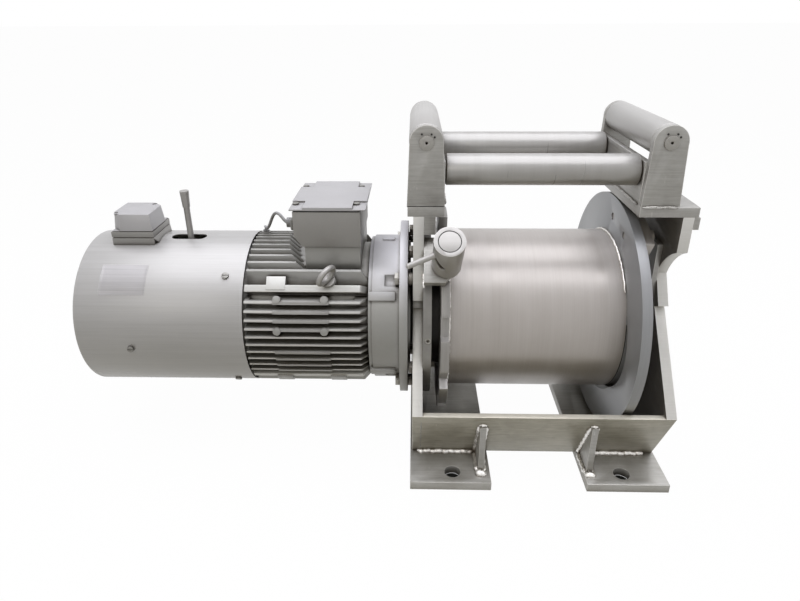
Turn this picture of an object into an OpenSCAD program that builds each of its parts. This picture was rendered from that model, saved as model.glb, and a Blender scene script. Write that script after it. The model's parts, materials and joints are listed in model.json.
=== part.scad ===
/* [Frame] */
// Height of the drum axis above the underside of the feet
axis_h = 225; // [223:1:232]
// Room between the drum flange and the bearing side plate
flange_room = 46.5; // [45:0.5:48]
// Thickness of a side plate
plate_t = 16; // [14:1:18]
// Rise of the plate heads above the drum axis
head_rise = 205; // [204:1:215]
// Width of the plate heads, front to rear
head_w = 238; // [232:1:242]
// Half width of a side plate at its waist
waist_half = 79; // [76:1:82]
// Rise of the waist above the drum axis
waist_rise = 41; // [38:1:44]
// Length of a foot strip, front to rear
foot_l = 420; // [410:1:440]
// Width of a foot strip
foot_w = 130; // [124:1:136]
// Thickness of a foot strip
foot_t = 15; // [12:1:16]
// Overhang of a foot strip past its side plate
foot_proud = 3; // [0:1:6]
// Foot hole to the outer face of the side plate
foot_hole_in = 66; // [62:1:70]
// Foot hole to the end of the foot
foot_hole_end = 25; // [20:1:30]
// Diameter of a foot hole
foot_hole_d = 26; // [18:1:28]
// Thickness of a rail
rail_t = 10; // [8:1:11]
// Distance of a rail's upper outer edge from the drum axis
rail_reach = 192.7; // [192:0.1:196]
// Distance of a rail's lower outer edge from the drum axis
rail_foot = 134.5; // [130:0.5:138]
// Height of a rail's upper edge
rail_top = 129; // [124:1:132]
// Thickness of a gusset
gusset_t = 10; // [8:1:14]
// Distance of a gusset's outer edge from the drum axis
gusset_reach = 187; // [180:1:190]
// Height of a gusset
gusset_h = 105; // [90:1:110]
// Thickness of the doubler plate round the shaft bearing
doubler_t = 8; // [6:1:9]
// Half width of the doubler plate
doubler_half = 70; // [66:1:72]

/* [Drum] */
// Outer diameter of the drum barrel
barrel_d = 273; // [270:1:276]
// Wall of the drum barrel
barrel_wall = 10; // [9:0.5:12]
// Length of the drum barrel between lock disc and flange
barrel_l = 273; // [268:1:276]
// Diameter of the drum flange
flange_d = 402; // [390:1:404]
// Thickness of the drum flange
flange_t = 15; // [12:1:16]
// Diameter of the lock disc
lock_disc_d = 352; // [350:1:354]
// Thickness of the lock disc
lock_disc_t = 13; // [11:1:14]
// Number of lock notches
notch_n = 12; // [8:4:12]
// Width of a lock notch as an angle
notch_deg = 12; // [11.5:0.5:14]
// Depth of a lock notch
notch_depth = 19; // [18:0.5:20]
// How much smaller than the barrel the rope pocket's curve is
pocket_in = 36.5; // [35.5:0.5:38.5]
// Offset of the rope exit pocket from the drum axis
pocket_off = 52; // [50:0.5:53]
// Inner radius of the rope clamp
clamp_r0 = 150; // [146:1:154]
// Outer radius of the rope clamp
clamp_r1 = 186; // [180:1:190]
// Thickness of the rope clamp
clamp_t = 20; // [16:1:22]
// Diameter of the stub shaft
shaft_d = 60; // [56:1:62]
// Outer diameter of the shaft bearing
shaft_bearing_d = 110; // [106:1:114]
// Width of the shaft bearing
shaft_bearing_w = 22; // [18:1:23]
// Width of the main bearing
main_bearing_w = 20; // [18:1:21]
// Section height of the main bearing
main_bearing_h = 12; // [11:0.5:13]
// Thickness of the web that the gearbox drives
web_t = 12; // [10:1:14]

/* [Gearbox] */
// Module of the gear teeth
gear_m = 2.25; // [2.2:0.05:2.3]
// Width of the gears
gear_w = 22; // [20:1:24]
// Thickness taken off each tooth for backlash
backlash = 0.3; // [0.2:0.05:0.4]
// Outer diameter of the gearbox tube
gearbox_d = 200; // [199:0.5:202]
// Wall of the gearbox tube
gearbox_wall = 5; // [4:0.5:6]
// Diameter of the gearbox flange
gearbox_flange_d = 300; // [298:1:304]
// Thickness of the gearbox flange
gearbox_flange_t = 13; // [12:1:14]
// Bore in the motor side plate
plate_bore_d = 140; // [130:1:144]
// Thickness of the planet carrier disc
carrier_t = 12; // [11:1:13]
// Diameter of a planet pin
planet_pin_d = 16; // [14:1:20]

/* [Motor] */
// Diameter of the motor flange
motor_flange_d = 300; // [296:1:304]
// Thickness of the motor flange
motor_flange_t = 13; // [12:1:15]
// Gap between the motor flange and the side plate
motor_gap = 8; // [7.8:0.1:9]
// Bolt circle of the motor and the gearbox
bolt_circle = 265; // [262:1:268]
// Size of the flange bolts
bolt_d = 12; // [10:1:12]
// Diameter over the fins
fin_d = 262; // [260:1:266]
// Diameter at the foot of the fins
valley_d = 224; // [220:1:228]
// Length of the finned housing
housing_l = 195; // [190:1:200]
// Length of the drive end shield behind the flange
shield_l = 50; // [46:1:54]
// Thickness of a fin
fin_t = 3; // [2.5:0.1:3.5]
// Bore of the finned housing
stator_d = 200; // [196:1:204]
// Diameter of the rotor
rotor_d = 130; // [120:1:136]
// Diameter of the motor shaft
motor_shaft_d = 38; // [36:1:40]
// Outer diameter of the eyebolt ring
eye_d = 40; // [38:1:44]

/* [Motor terminal box] */
// Length of the terminal box along the motor
box_l = 105; // [100:1:108]
// Width of the terminal box
box_w = 150; // [140:1:152]
// Height of the terminal box
box_h = 57; // [50:1:60]
// Length of the terminal box lid
lid_l = 119; // [116:1:122]
// Thickness of the terminal box lid
lid_t = 6; // [5:0.5:8]
// Diameter of the cable gland
gland_d = 16; // [14:1:17]
// Diameter of the brake cable
cable_d = 5; // [4.5:0.1:5.5]

/* [Cowl] */
// Outer diameter of the cowl
cowl_d = 262.4; // [262.4:0.1:266]
// Sheet thickness of the cowl
cowl_t = 1.5; // [1:0.1:2]
// Length of the cowl
cowl_l = 269; // [264:1:280]
// Length of the lever slot
slot_l = 59; // [54:1:62]
// Width of the lever slot
slot_w = 21.5; // [18:0.5:24]
// Length of the fan terminal box
fan_box_l = 69; // [64:1:72]
// Width of the fan terminal box
fan_box_w = 72; // [68:1:76]
// Diameter of the fan
fan_d = 236; // [220:1:240]
// Number of fan blades
blade_n = 7; // [5:1:9]
// Diameter of the fan motor
fan_motor_d = 90; // [84:1:96]

/* [Brake] */
// Diameter of the brake magnet
magnet_d = 144; // [136:1:146]
// Length of the brake magnet
magnet_l = 44; // [40:1:46]
// Travel of the armature when the brake is released
brake_gap = 0.6; // [0.5:0.1:0.8]
// Thickness of the brake disc
brake_disc_t = 11; // [9:0.5:12]
// Diameter of the release lever rod
lever_d = 10; // [8:0.5:11]
// Height of the lever grip's end above the drum axis
lever_h = 211; // [200:1:216]

/* [Lock] */
// Angle of the lock above the front horizontal
lock_deg = 45; // [44:1:46]
// Outer diameter of the lock sleeve
sleeve_d = 44; // [43:1:46]
// Diameter of the lock pin
lock_pin_d = 30; // [28:1:30]
// Travel of the lock pin
lock_travel = 20; // [18:0.5:20]
// Turn of the lock handle over the travel
lock_turn = 43; // [40:1:45]
// Diameter of the lock handle
handle_d = 8; // [7:0.5:9]
// Reach of the lock handle from the pin's axis
handle_l = 64; // [56:1:66]

/* [Fairlead] */
// Thickness of a base plate
base_t = 15; // [12:1:16]
// Height of the side roller axles above the base plates
side_axle_h = 92.7; // [92:0.1:98]
// Height of the front and rear roller axles above the base plates
long_axle_h = 47; // [44:0.5:48]
// Diameter of the side rollers
side_roller_d = 49; // [46:1:50]
// Diameter of the front and rear rollers
long_roller_d = 46; // [44:1:48]
// How much further apart than the barrel's length the side axles are
side_axle_room = 63; // [61:1:65]
// Distance between the front and rear roller axles
long_axle_span = 168; // [164:1:170]
// Thickness of a bracket plate
bracket_t = 10; // [8:1:11]
// Width of a bracket plate at its foot
bracket_w = 55; // [53:1:56]
// Width of a bracket plate at the roller axle
bracket_top_w = 48; // [46:1:50]
// Thickness of a bracket's inboard plate
inboard_t = 9; // [8:0.5:9]
// Height of the inboard plates above the base plates
inboard_h = 64; // [62:1:65]
// Diameter of a roller axle
axle_d = 20; // [18:1:22]

/* [Hidden] */
$fn = 96;
fit = 0.05;
run = 0.3;
eps = 0.01;

disc_to_plate = 26.5;
frame_w = 2 * plate_t + disc_to_plate + lock_disc_t + barrel_l + flange_t + flange_room;
x_plate_l = -frame_w / 2;
x_in_l = x_plate_l + plate_t;
x_plate_r = frame_w / 2;
x_in_r = x_plate_r - plate_t;
plate_top = axis_h + head_rise;
bolt_span_x = frame_w - 2 * foot_hole_in;
bolt_span_y = foot_l - 2 * foot_hole_end;
rail_slope_x = rail_reach - rail_foot;
rail_slope_z = rail_top - foot_t;
rail_run = rail_t * norm([rail_slope_x, rail_slope_z]) / rail_slope_z;

// Gear train: the ring is held, the sun is the motor's, the carrier is the drum's
sun_n = 18;
planet_n = 27;
ring_n = sun_n + 2 * planet_n;
gear_centre = gear_m * (sun_n + planet_n) / 2;
pressure_deg = 20;
dedendum = 1.25;
flank_steps = 4;

// Places along the axis, from the motor side plate inwards
gearbox_gap = 9;
x_gears = x_in_l + gearbox_flange_t + gearbox_gap;
x_carrier = x_gears + gear_w + 2;
x_cover = x_carrier + carrier_t + 1.5;
cover_t = 6;
x_tube_end = x_cover;
x_disc = x_in_l + disc_to_plate;
x_barrel = x_disc + lock_disc_t;
x_flange = x_barrel + barrel_l;
x_flange_out = x_flange + flange_t;
x_web = x_cover + cover_t + 17.5;
hub_r = barrel_d / 2 - barrel_wall;
pocket_r = barrel_d / 2 - pocket_in;
bearing_r = gearbox_d / 2 + main_bearing_h;
collar_t = 9.5;
collar_r = shaft_d / 2 + 20;
cover_screw_r = shaft_bearing_d / 2 + 8;

// Places along the axis, from the motor side plate outwards
x_motor = x_plate_l - motor_gap;
x_flange_back = x_motor - motor_flange_t;
x_housing = x_flange_back - shield_l;
x_housing_end = x_housing - housing_l;
x_cowl = x_housing_end - 3;
x_cowl_end = x_cowl - cowl_l;
fin_r = fin_d / 2;
valley_r = valley_d / 2;
stator_r = stator_d / 2;
pilot_r = 115;
pilot_h = 4;
shield_r = 125;
x_friction = x_housing_end - 50;
friction_t = 7.7;
x_brake_disc = x_friction - friction_t - run;
x_armature = x_brake_disc - brake_disc_t - run;
armature_t = 9;
x_magnet = x_armature - armature_t - brake_gap - run;
x_lever = x_magnet - magnet_l + 12;
bearing_od = 90;
bearing_w = 23;

// Bolts round the axis, as angles above the front horizontal
motor_bolt_degs = [45, 135, 225, 315];
gearbox_bolt_degs = [67.5, 112.5, 202.5, 247.5, 292.5, 337.5];

// Lock, in its own frame: x along the axis, z outwards from it
x_lock = x_disc + lock_disc_t / 2 + 0.5;
disc_r = lock_disc_d / 2;
sleeve_r0 = disc_r + 18;
sleeve_l = 84;
pin_r0 = sleeve_r0 - 13;
handle_r = sleeve_r0 + 56;
handle_deg = 204;
head_split = handle_r - 8;
slot_play = 0.6;

// Terminal box on the motor
x_box = x_housing - 11 - box_l;
pedestal_top = axis_h + fin_r + 9;
lid_z = pedestal_top + box_h;

// Cowl
cowl_r = cowl_d / 2;
x_slot = x_lever - 2.5;
y_slot = -6;
x_fan = x_cowl_end + 95;
fan_w = 26;
x_fan_box = x_cowl_end + 41;

// Fairlead
base_top = plate_top + base_t;
rope_shift = 6;
x_rope = (x_barrel + x_flange) / 2 - rope_shift;
side_axle_span = barrel_l + side_axle_room;
x_side_l = x_rope - side_axle_span / 2;
x_side_r = x_rope + side_axle_span / 2;
z_side = base_top + side_axle_h;
z_long = base_top + long_axle_h;
y_long = long_axle_span / 2;

// Route of the brake cable from its gland, by the box's corner above the fins, chosen by hand
cable_offsets = [
    [-14, -50, 41], [-18, -49, 43], [-23, -46, 49], [-29, -42, 54], [-36, -36, 52],
    [-41, -30, 45], [-46, -25, 35], [-51, -18, 25], [-56, -9, 17], [-61, 1, 13],
    [-65, 9, 12], [-67, 15, 11], [-67, 18, 9], [-67, 19, 6], [-67, 19, 4]
];
cable_route = [for (p = cable_offsets) [x_box, 0, axis_h + fin_r] + p];
cable_sides = 10;

// Small fastenings and their places
oil_plug_deg = 5;
oil_plug_x = x_in_l + gearbox_flange_t / 2 + 1;
oil_plug_depth = 14;
planet_degs = [90, 210, 330];
cowl_screw_degs = [46.6, 133.4, 226.6, 313.4];
fan_screw_degs = [-6.7, 173.3, 263.3];
fan_arm_degs = [-6.7, 83.3, 173.3, 263.3];
x_cowl_screw = x_cowl - 29;
collar_screw_degs = [0, 60, 120, 180, 240, 300];
collar_screw_d = 8;
clamp_screw_degs = [68, 89];
clamp_screw_d = 12;
eye_deg = 43.5;
side_pitch = 13.7;
eye_x = x_housing - 63;
gland_y = cable_route[0][1];
gland_z = cable_route[0][2];
lid_screw_x = [x_box + 2, x_box + 98];
lid_screw_y = [-50, 50];
fan_lid_screws = [[x_fan_box + 7, -22], [x_fan_box + 53, 25.5]];
sleeve_degs = [30, 150, 270];
sleeve_circle = 62;
sleeve_rad = 6;
lever_pin_r = 5;
slide_fit = 0.08;

// Profile drawn with y across and z up, pushed along x
module yz(x0, x1) {
    translate([x0, 0, 0]) rotate([90, 0, 90]) linear_extrude(x1 - x0) children();
}

// Profile drawn with x along and z up, pushed along y
module xz(y0, y1) {
    translate([0, y1, 0]) rotate([90, 0, 0]) linear_extrude(y1 - y0) children();
}

module on_axis() {
    translate([0, axis_h]) children();
}

module xcyl(x0, x1, r, z = axis_h, y = 0) {
    translate([x0, y, z]) rotate([0, 90, 0]) cylinder(h = x1 - x0, r = r);
}

module xring(x0, x1, r1, r0, z = axis_h, y = 0) {
    difference() {
        xcyl(x0, x1, r1, z, y);
        xcyl(x0 - 1, x1 + 1, r0, z, y);
    }
}

module ycyl(y0, y1, r, x, z) {
    translate([x, y1, z]) rotate([90, 0, 0]) cylinder(h = y1 - y0, r = r);
}

// Local z points outwards from the axis, at an angle above the front horizontal
module radial(deg, x, r = 0) {
    translate([x, 0, axis_h]) rotate([90 - deg, 0, 0]) translate([0, 0, r]) children();
}

// Local z points along x, at a radius from the axis
module axial(deg, x, r) {
    translate([x, -r * cos(deg), axis_h + r * sin(deg)]) rotate([0, 90, 0]) children();
}

// Part of a ring between two angles above the front horizontal
module arc(r0, r1, deg0, deg1) {
    mid = (deg0 + deg1) / 2;
    far = 2 * r1;
    intersection() {
        difference() {
            circle(r1);
            circle(r0);
        }
        polygon([[0, 0], for (a = [deg0, mid, deg1]) [-far * cos(a), far * sin(a)]]);
    }
}

module both_sides() {
    children();
    mirror([0, 1, 0]) children();
}

module hex_bolt(d, head_h) {
    difference() {
        cylinder(h = head_h, r = d * 0.9, $fn = 6);
        translate([0, 0, head_h - 1]) cylinder(h = 2, r = d * 0.3);
    }
}

module socket_screw(d, head_h, shank) {
    translate([0, 0, -shank]) cylinder(h = shank + eps, r = d / 2 - fit);
    difference() {
        cylinder(h = head_h, r = d * 0.75);
        translate([0, 0, head_h / 2]) cylinder(h = head_h, r = d * 0.45, $fn = 6);
    }
}

function mirror_half(half) = concat(half, [for (i = [len(half) - 1:-1:0]) [-half[i][0], half[i][1]]]);

function arc_points(c, r, deg0, deg1, n) =
    [for (i = [0:n]) let(a = deg0 + (deg1 - deg0) * i / n) c + r * [cos(a), sin(a)]];

// Involute teeth
function involute(a) = tan(a) * 180 / PI - a;

function half_tooth(n, m, r, play) =
    let(pitch_r = n * m / 2, base_r = pitch_r * cos(pressure_deg))
    90 / n - play / 2 / pitch_r * 180 / PI + involute(pressure_deg)
    - involute(acos(min(1, base_r / r)));

function tooth_radii(n, m, r0, r1) =
    let(start = max(r0, n * m / 2 * cos(pressure_deg)))
    [r0, for (i = [(start > r0 ? 0 : 1):flank_steps]) start + (r1 - start) * i / flank_steps];

function gear_points(n, m, r0, r1, play) =
    let(radii = tooth_radii(n, m, r0, r1), last = len(radii) - 1)
    [for (k = [0:n - 1], side = [-1, 1], i = [0:last])
        let(r = radii[side < 0 ? i : last - i], a = 360 * k / n + side * half_tooth(n, m, r, play))
        r * [cos(a), sin(a)]];

module gear(n, r0, r1, play) {
    polygon(gear_points(n, gear_m, r0, r1, play));
}

module toothed(n) {
    pitch_r = n * gear_m / 2;
    gear(n, pitch_r - dedendum * gear_m, pitch_r + gear_m, backlash);
}

module feet() {
    color("silver") for (side = [-1, 1]) difference() {
        translate([side * (x_plate_r + foot_proud - foot_w / 2), 0, foot_t / 2])
            cube([foot_w, foot_l, foot_t], center = true);
        for (end = [-1, 1]) translate([side * bolt_span_x / 2, end * bolt_span_y / 2, -1])
            cylinder(h = foot_t + 2, r = foot_hole_d / 2);
    }
}

// Side plates
module plate_section(points) {
    half = concat(points, [
        [waist_half, axis_h + waist_rise], [rail_reach, rail_top], [rail_reach - rail_run, rail_top],
        [rail_foot - rail_run, foot_t]
    ]);
    polygon(mirror_half(half));
}

module plate_bolt_holes() {
    for (a = concat(motor_bolt_degs, gearbox_bolt_degs))
        axial(a, x_plate_l - 1, bolt_circle / 2) cylinder(h = plate_t + 2, r = bolt_d / 2 + fit);
}

module motor_side_plate() {
    neck_r = head_w / 2 - waist_half - 13;
    neck = arc_points([head_w / 2, axis_h + waist_rise], neck_r, 90, 180, 6);
    color("silver") difference() {
        yz(x_plate_l, x_in_l) plate_section(concat([[head_w / 2, plate_top]], neck));
        xcyl(x_plate_l - 1, x_in_l + 1, plate_bore_d / 2);
        plate_bolt_holes();
    }
}

module bearing_side_plate() {
    neck_r = 103.7;
    neck_rise = 55;
    neck_y = head_w / 2 + neck_r * cos(66.3);
    neck = arc_points([neck_y, axis_h + neck_rise], neck_r, 113.7, 158, 8);
    nose = [waist_half + 14, axis_h + waist_rise + 7];
    color("silver") difference() {
        yz(x_in_r, x_plate_r) plate_section(concat([[head_w / 2, plate_top]], neck, [nose]));
        xcyl(x_in_r - 1, x_plate_r + 1, shaft_bearing_d / 2 + fit);
        cover_screw_holes();
    }
}

module cover_screw_holes() {
    for (a = motor_bolt_degs)
        axial(a, x_in_r - doubler_t - 1, cover_screw_r) cylinder(h = plate_t + doubler_t + 2, r = 4);
}

module bearing_doubler() {
    top = plate_top - 61;
    bottom = foot_t + 64;
    color("silver") difference() {
        yz(x_in_r - doubler_t, x_in_r) translate([-doubler_half, bottom])
            square([2 * doubler_half, top - bottom]);
        xcyl(x_in_r - doubler_t - 1, x_in_r + 1, shaft_bearing_d / 2 + fit);
        cover_screw_holes();
    }
}

module rails() {
    color("silver") both_sides() yz(x_plate_l, x_plate_r) polygon([
        [-rail_reach, rail_top], [-rail_reach + rail_run, rail_top],
        [-rail_foot + rail_run, foot_t], [-rail_foot, foot_t]
    ]);
}

module gussets() {
    gusset_x_l = x_plate_l + 112;
    gusset_x_r = x_plate_r - 119;
    slope = rail_slope_x / rail_slope_z;
    top_y = rail_foot + (gusset_h - foot_t) * slope;
    color("silver") both_sides() for (x = [gusset_x_l, gusset_x_r])
        yz(x - gusset_t / 2, x + gusset_t / 2) polygon([
            [-gusset_reach, foot_t], [-gusset_reach, gusset_h], [-top_y, gusset_h], [-rail_foot, foot_t]
        ]);
}

// Gearbox inside the drum
module gearbox_housing() {
    spigot_r = plate_bore_d / 2 - fit;
    seal_r = motor_shaft_d / 2 + 6;
    x_flange_in = x_in_l + gearbox_flange_t;
    tube_r = gearbox_d / 2;
    color("dimgray") difference() {
        union() {
            xcyl(x_in_l, x_flange_in, gearbox_flange_d / 2);
            xcyl(x_in_l - 6, x_in_l + 1, spigot_r);
            xcyl(x_flange_in - 1, x_tube_end, tube_r);
        }
        xcyl(x_flange_in, x_tube_end + 1, tube_r - gearbox_wall);
        xcyl(x_in_l - 7, x_flange_in + 1, seal_r);
        for (a = gearbox_bolt_degs)
            axial(a, x_in_l - 1, bolt_circle / 2) cylinder(h = gearbox_flange_t + 2, r = bolt_d / 2 + fit);
        radial(oil_plug_deg, oil_plug_x, gearbox_flange_d / 2 - oil_plug_depth)
            cylinder(h = 30, r = 5.5 + fit);
    }
}

module oil_plug() {
    color("gray") difference() {
        radial(oil_plug_deg, oil_plug_x, gearbox_flange_d / 2 - oil_plug_depth)
            cylinder(h = oil_plug_depth - 1, r = 5.5);
        radial(oil_plug_deg, oil_plug_x, gearbox_flange_d / 2 - 6) cylinder(h = 10, r = 3, $fn = 6);
    }
}

module gearbox_cover() {
    boss_r = 40;
    color("dimgray") difference() {
        xcyl(x_cover, x_cover + cover_t, gearbox_d / 2);
        xcyl(x_cover - 1, x_cover + cover_t + 1, boss_r + 2);
    }
}

module ring_gear() {
    pitch_r = ring_n * gear_m / 2;
    color("gray") difference() {
        xcyl(x_gears - 1, x_gears + gear_w + 1, gearbox_d / 2 - gearbox_wall - fit);
        yz(x_gears - 2, x_gears + gear_w + 2) on_axis() rotate(180 / ring_n)
            gear(ring_n, pitch_r - gear_m, pitch_r + dedendum * gear_m, -backlash);
    }
}

module main_bearing() {
    groove_h = 5;
    mid_r = gearbox_d / 2 + main_bearing_h / 2;
    x_end = x_barrel + main_bearing_w;
    color("silver") difference() {
        xring(x_barrel, x_end, bearing_r - fit, gearbox_d / 2 + fit);
        xring(x_barrel - 1, x_barrel + 1.5, mid_r + groove_h / 2, mid_r - groove_h / 2);
        xring(x_end - 1.5, x_end + 1, mid_r + groove_h / 2, mid_r - groove_h / 2);
    }
}

module flange_bolts() {
    spacer_r = 10;
    shank_end = x_plate_l + plate_t - 1;
    color("silver") for (a = motor_bolt_degs) {
        axial(a, x_motor, bolt_circle / 2) difference() {
            cylinder(h = motor_gap, r = spacer_r);
            translate([0, 0, -1]) cylinder(h = motor_gap + 2, r = bolt_d / 2 + fit);
        }
        axial(a, x_flange_back, bolt_circle / 2) mirror([0, 0, 1]) hex_bolt(bolt_d, bolt_d * 0.65);
        axial(a, x_flange_back - eps, bolt_circle / 2)
            cylinder(h = shank_end - x_flange_back + eps, r = bolt_d / 2);
    }
}

module gearbox_bolts() {
    color("silver") for (a = gearbox_bolt_degs) {
        axial(a, x_plate_l, bolt_circle / 2) mirror([0, 0, 1]) hex_bolt(bolt_d, bolt_d * 0.55);
        axial(a, x_plate_l - eps, bolt_circle / 2)
            cylinder(h = plate_t + gearbox_flange_t + eps, r = bolt_d / 2);
    }
}

// Motor
module drive_end_shield() {
    bore_r = bearing_od / 2;
    seal_r = motor_shaft_d / 2 + 2;
    x_seat = x_flange_back - 38;
    step = 6;
    pocket_l = 24;
    color("silver") difference() {
        union() {
            xcyl(x_flange_back, x_motor, motor_flange_d / 2);
            xcyl(x_motor - 1, x_motor + pilot_h, pilot_r);
            xcyl(x_motor, x_plate_l + 8, plate_bore_d / 2 - fit);
            xcyl(x_housing + step, x_flange_back + 1, shield_r);
            xcyl(x_housing, x_housing + step + 1, shield_r - 3);
            xcyl(x_housing - 5, x_housing + 1, stator_r - fit);
            for (a = [33, 147, 213, 327]) radial(a, x_housing + 1, shield_r - 10)
                translate([0, -7, 0]) cube([shield_l - 8, 14, 14]);
            radial(90, x_flange_back - 30, shield_r - 4) translate([0, -6, 0]) cube([20, 12, 6]);
        }
        xcyl(x_housing - 6, x_seat, stator_r - 8);
        xcyl(x_seat - 1, x_seat + bearing_w, bore_r + fit);
        xcyl(x_seat, x_plate_l + 9, seal_r);
        for (a = motor_bolt_degs) {
            axial(a, x_flange_back - 1, bolt_circle / 2)
                cylinder(h = motor_flange_t + 2, r = bolt_d / 2 + fit);
            axial(a, x_flange_back - pocket_l, bolt_circle / 2) cylinder(h = pocket_l, r = bolt_d + 1);
        }
    }
}

module fin_bars(pitch, count) {
    for (i = [0:count - 1], side = [-1, 1])
        translate([side * pitch * (i + 0.5) - fin_t / 2, -fin_r]) square([fin_t, 2 * fin_r]);
}

module fin_section() {
    top_pitch = 12.6;
    top_count = 7;
    side_count = 5;
    rib_deg = 38;
    rib_t = 11;
    fin_bars(top_pitch, top_count);
    rotate(90) fin_bars(side_pitch, side_count);
    for (a = [rib_deg, 180 - rib_deg]) rotate(a) square([3 * fin_r, rib_t], center = true);
}

// Fins cut round outside, with sloping ends towards the flange
module fins() {
    end_slope = 12;
    intersection() {
        yz(x_housing_end, x_housing) on_axis() fin_section();
        translate([x_housing_end, 0, axis_h]) rotate([0, 90, 0]) rotate_extrude() polygon([
            [0, 0], [fin_r, 0], [fin_r, housing_l - end_slope], [valley_r + 6, housing_l], [0, housing_l]
        ]);
    }
}

module motor_housing() {
    pad_r = fin_r + 2.5;
    pad_x = x_housing_end + 46;
    pad_l = 88;
    pedestal_l = 88;
    pedestal_base = axis_h + valley_r - 14;
    cable_end = cable_route[len(cable_route) - 1];
    clip_x = x_housing_end + 49;
    color("silver") difference() {
        union() {
            xcyl(x_housing_end, x_housing, valley_r);
            difference() {
                fins();
                terminal_clearing();
                rib_gap(pad_x - 40, pad_l + 80);
            }
            both_sides() foot_pads(pad_x, pad_l, pad_r);
            translate([x_box + 15, -box_w / 2 + 5, pedestal_base])
                cube([pedestal_l, box_w - 10, pedestal_top - pedestal_base]);
            radial(eye_deg, eye_x, valley_r - 6) cylinder(h = fin_r - valley_r + 8, r = 12);
            radial(eye_deg, clip_x, valley_r - 6) translate([-15, -15, 0])
                cube([30, 22, fin_r - valley_r + 6]);
            translate([cable_end[0], cable_end[1], axis_h + valley_r - 8])
                cylinder(h = fin_r - valley_r + 9, r = 7);
            both_sides() for (x = [x_housing_end + 39, x_housing - 66]) radial(-42, x, valley_r - 6)
                translate([0, -9, 0]) cube([26, 18, fin_r - valley_r + 9]);
        }
        xcyl(x_housing_end - 1, x_housing + 1, stator_r);
    }
}

// Flat room for the terminal box among the upper fins, with sloping fin ends
module terminal_clearing() {
    x_slant = x_box - 22;
    room_w = box_w - 2;
    top = axis_h + fin_r + 1;
    depth = 50;
    xz(-room_w / 2, room_w / 2) polygon([
        [x_slant, top], [x_slant + depth, top - depth], [x_housing + 1, top - depth], [x_housing + 1, top]
    ]);
}

// Deep gap between the corner ribs and the side fins
module rib_gap(x0, l) {
    gap_deg = 32;
    both_sides() for (sign = [-1, 1]) radial(sign * gap_deg, x0, valley_r - 2)
        translate([0, -4, 0]) cube([l, 8, 40]);
}

// Side fins stand proud where feet can be bolted on
module foot_pads(pad_x, pad_l, pad_r) {
    proud_t = fin_t + 1;
    boss_degs = [8, 30];
    boss_r = 6;
    intersection() {
        for (i = [1:4], sign = [-1, 1])
            translate([pad_x, -pad_r - 1, axis_h + sign * side_pitch * (i + 0.5) - proud_t / 2])
                cube([pad_l, 60, proud_t]);
        xcyl(pad_x, pad_x + pad_l, pad_r);
    }
    for (a = boss_degs, x = [pad_x + boss_r, pad_x + pad_l - boss_r - 1]) radial(a, x, valley_r - 4)
        cylinder(h = pad_r - valley_r + 5, r = boss_r);
}

module stator() {
    slot_n = 36;
    core_l = 130;
    x_mid = (x_housing + x_housing_end) / 2;
    bore_r = rotor_d / 2 + 0.5;
    color("darkgray") difference() {
        union() {
            xcyl(x_mid - core_l / 2, x_mid + core_l / 2, stator_r - fit);
            xcyl(x_mid - core_l / 2 - 18, x_mid + core_l / 2 + 18, stator_r - 12);
        }
        xcyl(x_mid - core_l, x_mid + core_l, bore_r);
        for (i = [0:slot_n - 1]) axial(i * 360 / slot_n, x_mid - core_l, bore_r)
            cylinder(h = 2 * core_l, r = 1.5);
    }
}

module rear_end_shield() {
    disc_t = 17;
    post_r = 62;
    color("silver") difference() {
        intersection() {
            union() {
                xcyl(x_housing_end - disc_t, x_housing_end, valley_r);
                xcyl(x_housing_end - 1, x_housing_end + 6, stator_r - fit);
                xcyl(x_housing_end - disc_t - 8, x_housing_end, bearing_od / 2 + 10);
                for (a = [90, 210, 330]) axial(a, x_friction, post_r)
                    cylinder(h = x_housing_end - disc_t - x_friction + 1, r = 9);
                for (a = cowl_screw_degs) radial(a, x_cowl_screw, valley_r - 14)
                    translate([-9, -8, 0]) cube([x_housing_end - x_cowl_screw + 1, 16, 40]);
            }
            xcyl(x_friction, x_housing_end + 10, cowl_r - cowl_t - fit);
        }
        xcyl(x_housing_end - disc_t - 9, x_housing_end + 7, motor_shaft_d / 2 + 2);
        xcyl(x_housing_end - bearing_w, x_housing_end + 7, bearing_od / 2 + fit);
        for (a = cowl_screw_degs) radial(a, x_cowl_screw, valley_r) cylinder(h = 60, r = 3);
    }
}

module motor_bearings() {
    x_front = x_flange_back - 38;
    x_rear = x_housing_end - bearing_w;
    inner_r = motor_shaft_d / 2 + fit;
    mid_r = (bearing_od / 2 + inner_r) / 2;
    color("silver") for (x = [x_front, x_rear]) difference() {
        xring(x, x + bearing_w, bearing_od / 2, inner_r);
        for (end = [x - 1, x + bearing_w - 1]) xring(end, end + 2, mid_r + 4, mid_r - 4);
    }
}

module motor_rotor() {
    core_l = 130;
    x_mid = (x_housing + x_housing_end) / 2;
    x_sun_end = x_gears - 1;
    hub_l = x_brake_disc - brake_disc_t - 2;
    shaft_r = motor_shaft_d / 2;
    color("gray") {
        xcyl(x_friction, x_sun_end - 5, shaft_r);
        xcyl(hub_l, x_friction + 1, shaft_r - 5);
        xcyl(x_sun_end - 6, x_gears + gear_w, shaft_r - 7);
        xcyl(x_mid - core_l / 2, x_mid + core_l / 2, rotor_d / 2);
        xcyl(x_mid - core_l / 2 - 12, x_mid + core_l / 2 + 12, rotor_d / 2 - 8);
    }
}

module sun_gear() {
    color("gray") difference() {
        yz(x_gears, x_gears + gear_w) on_axis() toothed(sun_n);
        xcyl(x_gears - 1, x_gears + gear_w + 1, motor_shaft_d / 2 - 7 + fit);
    }
}

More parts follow.
